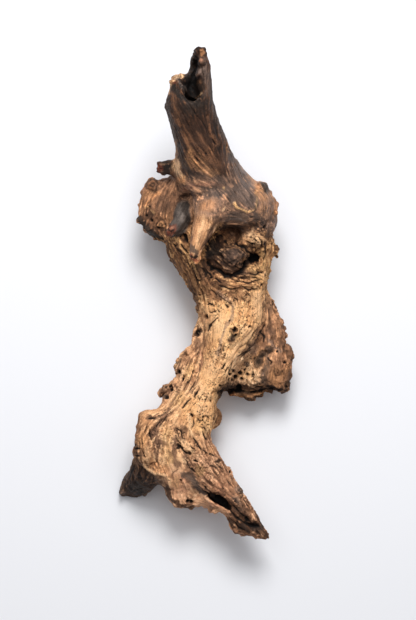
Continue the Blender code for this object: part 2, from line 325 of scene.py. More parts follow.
# Short strokes along the grain, as x and y of the start and of the end.
GRAIN_STROKES = (
    # trunk, where the grain winds round
    (-25, 172, -22, 150), (-29, 158, -25, 128), (-18, 158, -6, 138), (-8, 155, 4, 130), (3, 172, 5, 145),
    (8, 145, 13, 122), (-20, 138, -10, 112), (-12, 128, 0, 106), (-2, 130, 10, 106), (12, 128, 20, 106),
    (-24, 120, -21, 96), (-17, 112, -8, 94), (-4, 108, 10, 94), (14, 108, 26, 92), (-3, 195, -1, 172),
    # burl
    (-18, 84, -6, 87), (-2, 87, 12, 84), (20, 94, 32, 78), (30, 92, 42, 76), (40, 84, 50, 66),
    (12, 80, 22, 70), (22, 72, 34, 64), (46, 70, 50, 54), (54, 78, 57, 62), (14, 60, 26, 57),
    (26, 58, 40, 54), (6, 80, 4, 68),
    # plate and strings
    (-28, 90, -32, 72), (-42, 88, -48, 70), (-34, 76, -40, 60), (-26, 66, -30, 52), (-26, 48, -14, 30),
    (-20, 42, -8, 20), (-30, 38, -20, 18), (-14, 24, -8, 4), (-6, 18, -4, -4),
    # collar
    (2, 20, 10, 13), (12, 9, 28, 12), (28, 14, 44, 12), (11, 33, 24, 20), (16, 37, 31, 22), (9, 29, 20, 16),
    (24, 37, 34, 27), (8, 46, 14, 36), (30, 46, 42, 40), (46, 48, 47, 26), (8, 8, 26, 3), (26, 6, 44, 6),
    # neck
    (4, 0, 0, -22), (20, -2, 18, -24), (34, -2, 34, -22), (44, 4, 44, -20), (2, -22, 2, -42),
    (18, -24, 13, -46), (34, -24, 24, -46), (44, -24, 36, -40), (4, -44, -2, -66), (14, -48, 6, -70),
    (24, -48, 14, -68), (-2, -66, -12, -88), (8, -70, -2, -92), (2, -92, 0, -112), (-12, -88, -20, -106),
    # ridge
    (-6, -24, -9, -42), (-10, -44, -20, -60), (-20, -62, -28, -78), (-12, -58, -20, -78),
    # lobe
    (50, -2, 55, -22), (56, -22, 61, -46), (48, -24, 49, -44), (40, -42, 33, -58), (50, -52, 49, -72),
    (62, -54, 62, -72), (32, -58, 28, -72), (14, -79, 34, -82), (34, -81, 60, -78),
    # foot
    (-24, -92, -36, -108), (-34, -96, -50, -104), (-52, -102, -56, -122), (-36, -108, -40, -128),
    (-20, -106, -25, -126), (-40, -126, -34, -142), (-50, -124, -42, -140), (-25, -126, -18, -142),
    (-10, -112, -2, -128), (2, -116, 10, -132), (-16, -132, -4, -148), (-2, -130, 12, -148),
    (12, -134, 24, -154), (-8, -150, 8, -162), (10, -150, 26, -166), (26, -156, 38, -176),
    (16, -168, 30, -182), (34, -178, 48, -196), (-22, -146, -18, -166), (-10, -168, 6, -170),
    # leg
    (-50, -136, -56, -152), (-60, -140, -66, -156), (-40, -148, -50, -158),
)

# Lines on the drawing that more than one mark follows, as x and y of each corner.
BURL_CURL = (22.5, 71.7, 24.5, 69, 28.5, 67, 34, 64.7, 38, 67, 40, 72, 40.5, 80)
FAN_FOLD = (-50, -138, -45, -141.4, -38.6, -143.8, -32, -146.4, -29, -150, -28.4, -155)
MOUTH_LIP = (-23.2, 172, -19.2, 165.6, -16, 160.4, -12.8, 157.4, -7.2, 156.4)

# The broad relief: width and height of each ridge or groove, then x and y along it.
FORMS: tuple[Ridge, ...] = tuple(Ridge(corners(flat), width, height) for width, height, *flat in (
    (5, -3.6, 4, 23, 8, 19, 13, 14.5, 19, 13, 25, 15, 30, 19, 33, 24), (4.5, 2.2, 31, 47, 36, 45, 42, 42),
    (7, -4.5, 5, 34, 10, 41, 20, 45), (4, -2.5, 20, 47, 30, 46, 38, 50), (4.5, 1.6, 46, 48, 47, 38, 46, 26),
    (5, -1.8, 33, 27, 39, 28), (3, 2.2, 12, 34, 23, 34, 32, 29), (2.4, -1.4, 10, 28, 19, 20, 27, 18),
    (4, 1.3, 8, 9, 18, 6, 30, 6, 44, 8), (2.4, -1.2, 10, 12, 20, 9.5, 34, 12),
    (3, 1.6, -26, 46, -18, 34, -8, 20, -2, 8), (2.2, -1.6, -20, 46, -14, 36, -8, 26),
    (3, 1.2, -31, 44, -26, 32, -18, 16), (1.4, 0.9, *BURL_CURL),
    (5, -1, 48, 2, 47, -16, 45, -30, 38, -40, 31, -48, 24, -54, 20, -66),
    (4, -1.3, -2, -22, -3, -40, -5, -56, -9, -70, -15, -84), (1.5, 1.3, *FAN_FOLD),
    (3, 1.5, -20, -120, -15.5, -123, -12, -127), (3, -1.2, -13, -96, -9, -103, -9, -108),
    (3, -1, 6, -118, 2, -114, -6, -116, -14, -118), (3.4, -0.9, -26, -108, -24, -118, -25, -130),
    (3, -1, -14, -146, -8, -150), (4.6, 3.4, -7, -152, -1, -157, 3, -160.5),
    (3, 1.2, -4, -146, 10, -156, 22, -166, 32, -178), (2.4, -1.6, 20, -171, 28, -180, 38, -188),
    (3.4, 1.6, -28, -72, -33, -76, -36, -80), (3.4, 1.2, -24, -56, -20, -52, -14, -46),
    (3, 1.4, -9, -18, -6, -26, -9, -34), (3, 1, -50, 80, -46, 86, -42, 90),
    (1.6, 0.8, -48, 69, -44, 69, -41, 64), (3.6, 1.5, 58, 34, 55, 38, 52, 42),
    (4, 1.2, 64, -40, 68, -50, 66, -56), (4, -2.6, 14, -80, 26, -79, 40, -78, 52, -76, 62, -77),
    (1.5, 1.6, *MOUTH_LIP), (2, -0.9, -25.5, 168, -20.5, 160.5, -15, 155, -7, 152.6),
    (1.8, -3.4, -8.4, 187, -9.8, 180, -10.8, 172, -11.6, 164), (1.3, -1.2, -1.5, 189.4, -5.5, 189.8),
    (1.3, -1.1, -1.6, 181, -6, 180.6), (2.4, -0.8, 20, -11, 17.6, -23.6, 14.4, -29.6, 11, -40, 10, -50),
    (1.8, 0.9, -13.5, -97, -13, -106, -10.5, -113), (1.8, 0.8, 1.5, -95, 3, -103, 1, -110),
))

# Ragged stretches of the outline: the knobs' size, spacing and standing out, then x and y along it.
FRINGES: tuple[Fringe, ...] = tuple(Fringe(corners(flat), size, every, out) for size, every, out, *flat in (
    (2.1, 4.6, 0.25, -8, 0, -8, -14, -8, -28, -11, -40),
    (1.8, 5.2, 0.25, -11, -40, -18, -48, -24, -54, -25, -66),
    (2.2, 4.1, 0.25, -26, -70, -33, -74, -38, -80, -33, -86),
    (1.9, 5.3, 0.25, -33, 38, -28, 24, -17, 8, -8, -6), (2.5, 3.9, 0.45, -55, 60, -50, 53, -43, 47, -34, 42),
    (1.8, 8, 0, -48, 90, -52, 80, -54, 68), (2.3, 5.3, 0.3, 50, -4, 58, -14, 61, -24, 64, -38),
    (2.4, 5.8, 0.28, 64, -38, 68, -50, 68, -64, 65, -76),
    (2.6, 5.3, 0.25, 64, -78, 50, -78, 36, -82, 16, -81), (2, 5.8, 0.1, 51, 82, 58, 72, 57, 60, 53, 48),
    (2, 5.3, 0.2, 53, 48, 57, 38, 52, 28, 50, 14, 49, 2),
    (1.7, 5.3, 0.1, 18, -138, 26, -152, 33, -164, 42, -180), (1.8, 5.2, 0.1, -56, -112, -58, -122, -57, -132),
    (2, 5.1, 0.25, -28, -166, -18, -172, -2, -170, 6, -175, 14, -174),
    (1.7, 4.8, 0.25, 16, -178, 22, -188, 30, -194, 44, -196),
    (1.6, 5.8, 0.1, -68, -162, -58, -164, -46, -161), (1.4, 3.9, 0.3, -30, 164, -27, 172, -20, 176, -14, 173),
    (1.6, 3.9, 0.2, -10, 186, -9, 195, -3, 197, 0, 190),
    (1.4, 4.6, 0.1, -24, 95, -36, 95, -40, 100, -36, 105), (1.4, 5.8, 0, 7, -88, 12, -94, 13, -100),
))

# Single knobs: x, y, size, length, where it points, level.
BURRS: tuple[Burr, ...] = tuple(Burr(*row) for row in (
    (-54, 59, 1.5, 2, 255), (-49, 52.5, 1.8, 1.5, 235), (-44, 47.5, 1.6, 1.4, 230), (-46, 51, 2.4, 1, 230),
    (53.4, 33, 2, 2.6, 300), (55, 37, 1.6, 1.6, 320), (46.4, 84.5, 2.6, 2, 300), (44.6, 88, 1.8, 1, 60),
    (26, 104.6, 1.5, 1.6, 300), (-31.4, 150, 1.4, 2.2, 80), (-8, -31, 2.8, 1, 200), (-36, -79, 3, 1.2, 190),
    (-24, -60, 2.4, 1, 180), (65, -50.5, 2.4, 1.3, 60), (58.5, -23, 2, 1.6, 290),
    (54.5, -13.5, 1.8, 1.4, 300), (47, -194.5, 1.7, 1.8, 320), (4, -173, 2.4, 1.1, 250),
    (7.5, -174, 2.4, 1.3, 200), (12, -172, 2, 1.1, 260), (31, -190, 2.6, 1.2, 250), (-68, -160, 2, 1.1, 200),
    (56.5, 69, 2.8, 1.6, 80), (57.5, 64, 2, 1.2, 60), (19.5, -144, 1.8, 1.6, 300), (27.5, -160, 2, 1.8, 300),
    (36, -172, 1.8, 2, 300), (-3.4, 193.5, 2.2, 1.1, 90), (-4.2, 185.4, 2.5, 1.1, 90, 124),
    (-7.4, 190.5, 2.3, 1.6, 90), (-7.6, 176.5, 1.8, 1.8, 80, 121), (-11.5, 178, 1.7, 1.8, 70),
    (-9.6, 185.5, 1.5, 1.4, 80), (-29.6, 49.5, 2.4, 1.2, 60, 70), (-28.2, 54.2, 1.7, 1.1, 90, 71),
    (-27, 46.6, 2.1, 1.3, 20, 70), (-31, 46.8, 1.5, 1, 0, 69), (-25.6, 50, 1.9, 1.2, 100, 73),
    (-11.4, 29, 1.5, 1.9, 95, 84), (-5.2, 27.5, 1.5, 2.2, 75, 83), (-8.2, 24.2, 1.6, 1.2, 0, 82),
))

# Where the outline is let out or taken in, as (x, y, move in x, move in y).
OUTLINE_MOVES = (
    (-9, 190, -1.2, 0), (-2, 192, 1.8, 0), (0, 182, 2.4, 0), (2, 172, 1.8, 0), (4, 160, 1.2, 0),
    (6, 150, 1, 0), (9, 140, 1, 0), (12, 133, 0.9, 0), (16, 123, 1.2, 0), (19, 115, 0.7, 0),
    (-16, 177, 0, -4.5), (-21, 175, 0, 0.5), (-27, 168, -2.6, 0.5), (-30, 160, -0.5, 0), (-32, 150, -0.8, 0),
    (-31, 140, 1.6, 0), (-29, 128, 2, 0), (-27, 118, 1.6, 0), (-41, 100, -1.5, 0), (-29, 93.5, 0, -2.4),
    (-36, 94.5, 0, -1.4), (-31, 106, 0, 1), (-50, 88, 2.2, 0), (-53, 80, 1.6, 0), (-55, 70, 1, 0),
    (27, 107, -1.8, -0.8), (34, 98, -3, -0.8), (40, 92, -2.4, -0.6), (52, 82, -1.6, 0), (56, 76, -1, 0),
    (59, 62, -2.6, 0), (58, 55, -2.2, 0), (56, 48, -3.6, 0), (56, 42, -2.2, 0), (53, 30, 1.5, 0),
    (48, 12, 1.6, 0), (-33, 38, 1.6, 0), (-31, 30, 0.4, 0), (-27, 22, 2.2, 0), (-24, 16, 3.2, 0),
    (-20, 10, 3.2, 0), (-15, 2, 3, 0), (-11, -5, 2.2, 0), (-9, -12, 1.6, 0), (-9, -20, 2.6, 0),
    (-9, -26, 1.8, 0), (-12, -38, 1, 0), (-16, -43, 2.2, 0), (-20, -48, 2.2, -0.5), (-24, -51, 2.2, -1),
    (-26, -58, 1, 0), (-26, -65, 1.6, 0), (-31, -70, 3.6, -1.5), (-36, -75, 2.4, -1), (-37, -84, 2.6, 0),
    (-40, -89, 3.2, -1.2), (56, -12, 1.6, 0), (60, -20, 1.2, 0), (61, -28, 1.5, 0), (66, -74, 1.2, -0.5),
    (62, -78, 0, -2.2), (50, -77, 0, -2), (38, -79, 0, -2.6), (30, -80, 0, -2.6), (20, -80, 0, -2),
    (12, -86, -3.2, 0), (11, -98, 1.8, 0), (4, -110, 1.4, 0), (10, -129, 1, 0), (17, -139, 1, 0),
    (25, -150, -0.6, 0), (31, -159, -0.8, 0), (34, -165, -0.8, 0), (48, -192, 1.4, 0), (47, -196, 2, -0.8),
    (30, -191, -0.5, -2.2), (23, -188, -1.2, -2.4), (14, -178, 2.6, 0.8), (9, -175, 0, 1), (4, -173, 0, -1.6),
    (-10, -170, 0, -2), (-57, -165, 0, 1.8), (-58, -118, 1.6, 0), (-58, -110, 1, 0), (-54, -96, 0.6, 0),
)


# Open cracks: width and depth, then x and y along each.
CRACKS: tuple[Crack, ...] = tuple(Crack(corners(flat), width, depth) for width, depth, *flat in (
    # trunk
    (0.9, 0.8, -20, 160, -13, 150, -7, 141), (0.8, 0.7, -7, 142, -1, 134, 4, 126),
    (0.7, 0.6, -23, 152, -17, 141, -11, 131), (0.7, 0.6, -13, 130, -6, 118, 1, 110),
    (0.7, 0.6, -3, 128, 4, 116, 11, 106), (1.3, 1.4, 5.5, 122.5, 8, 118.5), (1.1, 1, -9, 108.5, -6, 105.5),
    (0.6, 0.5, -19, 145, -14, 134), (0.8, 0.6, -25, 133, -21, 118, -17, 104), (0.6, 0.5, 0, 105, 7, 98),
    # left of the neck
    (2.6, 4, -18, 47, -15.5, 41), (1.5, 2, -20.5, 39, -17, 35, -14.5, 32),
    (0.8, 0.9, -26, 40, -19, 30, -14, 22), (0.9, 1, -12, 24, -9, 14, -6, 4),
    (1.2, 1.2, -9, 12.5, -6, 10, -4, 11),
    # collar
    (2.3, 3.4, 2, 24.5, 6, 20.5, 11, 17.5, 15, 14, 20, 13.3, 25, 15.5, 29, 19, 32, 23),
    (2, 2.6, 32, 26, 31, 21), (1.6, 2.2, 21, 43, 24, 39.5, 30, 37, 34, 33, 37, 30),
    (0.8, 0.8, 22, 37, 28, 35.5, 33, 30), (1.5, 2, 42, 45, 45, 41, 44, 36),
    (1.1, 1.4, 47, 42, 48, 33, 46.5, 26), (1.7, 2.2, 8, 12.5, 12, 8.5), (1.1, 1.3, 10, 6, 18, 3, 26, 3.5),
    (1, 1.2, 24, 9.5, 34, 8, 45, 11), (1.1, 1.3, 33, 16, 40, 14.5, 46, 17),
    (1.2, 1.4, 28, 5, 34, 2.5, 42, 3.5), (1, 1.2, 36, 12.5, 41, 12), (1.2, 1.4, 0, 17, 4, 14, 3, 11),
    (1, 1.2, -3, 20, 0, 14), (0.8, 0.9, 2, 3, 8, -1),
    # neck
    (1.1, 1.2, 1, -10, 3, -9, 6, -10.5), (1.1, 1.4, 15, -9.5, 18, -12), (0.9, 1, 22, -3.5, 25.5, -6),
    (0.8, 0.8, 32, 0.5, 36, -3), (0.9, 0.8, 9.5, -12.5, 11, -15), (1.3, 1.1, 1, -31, 3, -25, 9, -20),
    (0.9, 0.8, 3, -16, 9, -13.5), (0.7, 0.6, 28, -3, 34, -8), (0.8, 0.8, 14, -40, 13.3, -47),
    (1, 1, 47, -25, 45, -31, 42, -35), (0.9, 0.9, 38, -42, 31, -48, 25, -51), (0.8, 0.8, 36, -45, 28, -52),
    (0.7, 0.9, 26, -46, 33, -40, 38, -33, 42, -27), (0.6, 0.8, 23, -43, 30, -37, 36, -30, 40, -21),
    (0.6, 0.7, 20, -44, 25, -39, 31, -33), (0.7, 0.9, 29, -50, 37, -43, 42, -36),
    (0.6, 0.8, 44, -26, 45.5, -18, 45, -8), (1.5, 1.5, -10.5, -83, -8.5, -80, -6.5, -77.5),
    (1.3, 1.1, -19, -92, -15, -87, -13, -85),
    (0.62, 0.7, -1.8, -25, -1.8, -35, -2.6, -46, -3.6, -57, -6, -63),
    (0.8, 0.8, 21.2, -53.6, 20, -60, 18.4, -66), (0.8, 0.8, 9, 0, 14, -5, 21, -10), (0.8, 0.8, 5, 2, 9, -3),
    (0.8, 0.8, -18, -77, -13, -69, -10, -62), (0.9, 0.8, -13, -78, -9, -70), (0.8, 0.7, -6, -62, -5, -56),
    (1.4, 1.6, 10, -80, 14, -76),
    # lobe
    (1.1, 1, 44, -31, 47, -35, 46, -39), (1, 1, 49, -52, 53, -55, 51, -57),
    (2.6, 3, 16, -80, 22, -78.5, 30, -79), (2, 2.2, 36, -79.5, 42, -79, 49, -77),
    (2.6, 2.8, 50, -77.5, 56, -78, 61, -78),
    # foot
    (1.2, 1.4, -24, -108, -20, -111, -19, -116), (1, 1.1, -24.5, -114, -23, -118, -20.5, -121),
    (1.5, 2, -21.5, -122, -18.5, -125.6, -15, -128.6, -12, -130.4), (1.5, 1.5, -9.6, -133.4, -6.4, -135),
    (0.9, 0.9, -13, -122, -9.5, -125.5), (1.2, 1.2, -10, -116, -6, -122, -4, -125),
    (0.8, 0.8, -8, -122, 0, -128, 6, -131), (1.1, 1.1, -2, -112, 1, -118),
    (1, 1, -16, -134, -13, -140, -9, -143), (0.9, 0.9, -41.5, -110, -36, -101),
    (0.8, 0.8, -38, -108, -31, -97), (1, 1, -44, -118, -45, -109), (0.9, 0.9, -49, -112, -47, -104),
    (1.4, 1.4, -46, -100, -41, -99.5), (1.4, 1.4, -12, -96.5, -10.5, -99),
    (0.9, 1, -7, -100, -5, -102.5, -2.5, -103), (1, 1.1, -5, -107, -1.5, -107.5, 0.5, -111),
    (0.8, 0.8, -10, -101, -10.4, -107), (0.9, 1, 0, -97, 3, -100),
    (0.7, 0.6, -22, -141, -27, -145, -26, -149), (1, 1, 3, -128, 8, -131), (1, 1, 3, -138, 8, -140),
    (0.65, 0.9, -10, -144, 0, -150, 8, -156, 18, -160, 26, -168), (0.5, 0.7, -4, -140, 6, -147, 16, -155),
    (0.9, 0.9, 8, -137, 14, -141), (0.8, 0.9, 16, -149, 21, -155), (0.5, 0.6, 2, -134, 9, -141, 13, -147),
    (1.3, 1.4, -2, -158, 1, -161, 4, -164), (4, 5, 3, -162.6, 8, -164, 14, -167.4, 18.2, -171.6),
    (1.5, 2, 18, -172, 25, -180, 31, -184), (1, 1.2, 22, -170, 30, -179, 38, -185),
    (2.4, 2.6, 31, -184, 37, -186.5, 42, -187), (1, 1.3, 21, -181, 25, -187, 31, -190),
    (0.8, 0.9, 30, -165, 36, -174), (1.2, 1.2, -57, -130.5, -53, -131), (1.4, 1.3, -57, -125, -53, -124),
    (0.9, 1, -3, -153, 2, -158, 6, -161.4), (2.2, 2.2, 31, -181, 34, -182.6),
    (2.2, 2.4, 40.5, -184.8, 42.5, -187),
    # leg
    (0.9, 0.8, -57, -137, -61, -147, -65, -156), (0.8, 0.7, -52, -140, -55, -150),
    (0.8, 0.7, -47, -144, -50, -154), (0.8, 0.7, -42, -147, -44, -155),
))

# Holes: x, y, radius, depth, height of the rim.
HOLES: tuple[Hole, ...] = tuple(Hole(*row) for row in (
    (23, -30, 1.5, 4.5, 0.5), (35.5, -27, 1.2, 2.6), (24, -33.6, 0.9, 1.4, 0.3), (0.2, -19, 1.7, 2.8),
    (-22.3, -63, 1.7, 3.4), (-18.7, -68.5, 1.1, 2.2), (-6, -30, 2, 3), (-6.5, -33.5, 1.3, 2.4),
    (-28.6, -74.5, 1.2, 2.2), (-27.5, -77.5, 1.2, 2.4), (-32, -75, 1, 1.6), (-31.5, -82.5, 2, 2.6),
    (22.6, -62.6, 1.5, 2.4), (27.4, -64.4, 1.7, 2.6), (19.8, -65.4, 1.1, 2), (24, -67.2, 1.8, 2.6),
    (21.6, -69.6, 1.2, 2), (30.8, -61.8, 1, 1.6), (28.4, -68.8, 1.4, 2.2), (32.8, -65, 1.4, 1.6),
    (63.5, -55.5, 1.4, 2.2), (57, -46.8, 1, 1.4), (26, -76, 2.6, 3.4), (17, -79, 2.2, 2.8),
    (55, -78.5, 2.4, 3), (39.6, 28, 2.6, 4.5), (36.2, 27.4, 2, 4), (45, 6.5, 1.2, 1.8), (-2, -99.4, 1.2, 2.4),
    (-2.4, -101.8, 0.9, 2), (-11, -98, 0.9, 1.6), (-20, -150, 1, 1.8), (-14.5, -167, 1.6, 2.6),
    (-11.5, -167.3, 1.6, 2.8), (-57.5, -121.5, 1.3, 1.6), (4, -86.5, 0.9, 1.4), (0.5, -90.5, 0.8, 1),
    (0.3, 111.5, 0.8, 0.8), (47.5, 53, 1.6, 2.4), (19.5, -143, 1.1, 1.8), (-43.5, 58, 1.3, 1.8),
    (-48, 62, 1.2, 1.8), (-38, 52, 1.2, 1.8), (25, -183, 0.9, 1.2), (11.5, -74.5, 1, 1.6),
    (17.5, 66, 0.6, 0.4), (32, 22.5, 1.8, 3), (5, 20, 1.6, 2.4),
))

# Knots: x, y, half the size in x and y, turn, height, tone.
KNOTS: tuple[Knot, ...] = tuple(Knot(*row) for row in (
    (-43, 86, 4.2, 3.8, 0, 1, CHESTNUT), (20.5, -36.5, 3, 2.2, 20, 0.4, BARK),
    (44.6, -48.8, 2.5, 2.4, 0, 0.7, BLACK), (42, -54.6, 2.5, 4.5, -15, 0.6, BLACK),
    (50.6, -45.4, 2.9, 2.5, 0, 0.8, BLACK), (35, -41, 1.6, 1.4, 0, 0.3), (9, -134, 2.2, 1.2, 20, 0.3),
    (23.3, -31, 3.6, 3.6, 0, 0.5, TAN), (-23, -54, 3, 3, 0, 0.8, TAN), (44.5, 56, 3.5, 3, 0, 0.6, BARK),
    (58, -64, 2.2, 2, 0, 0.5, CHESTNUT), (32.5, -57, 2, 1.8, 0, 0.3, ASH), (-36, 55, 3, 2.6, 0, 1, TAN),
    (3, 15, 2.8, 2.2, 0, 0.8, CHESTNUT),
))
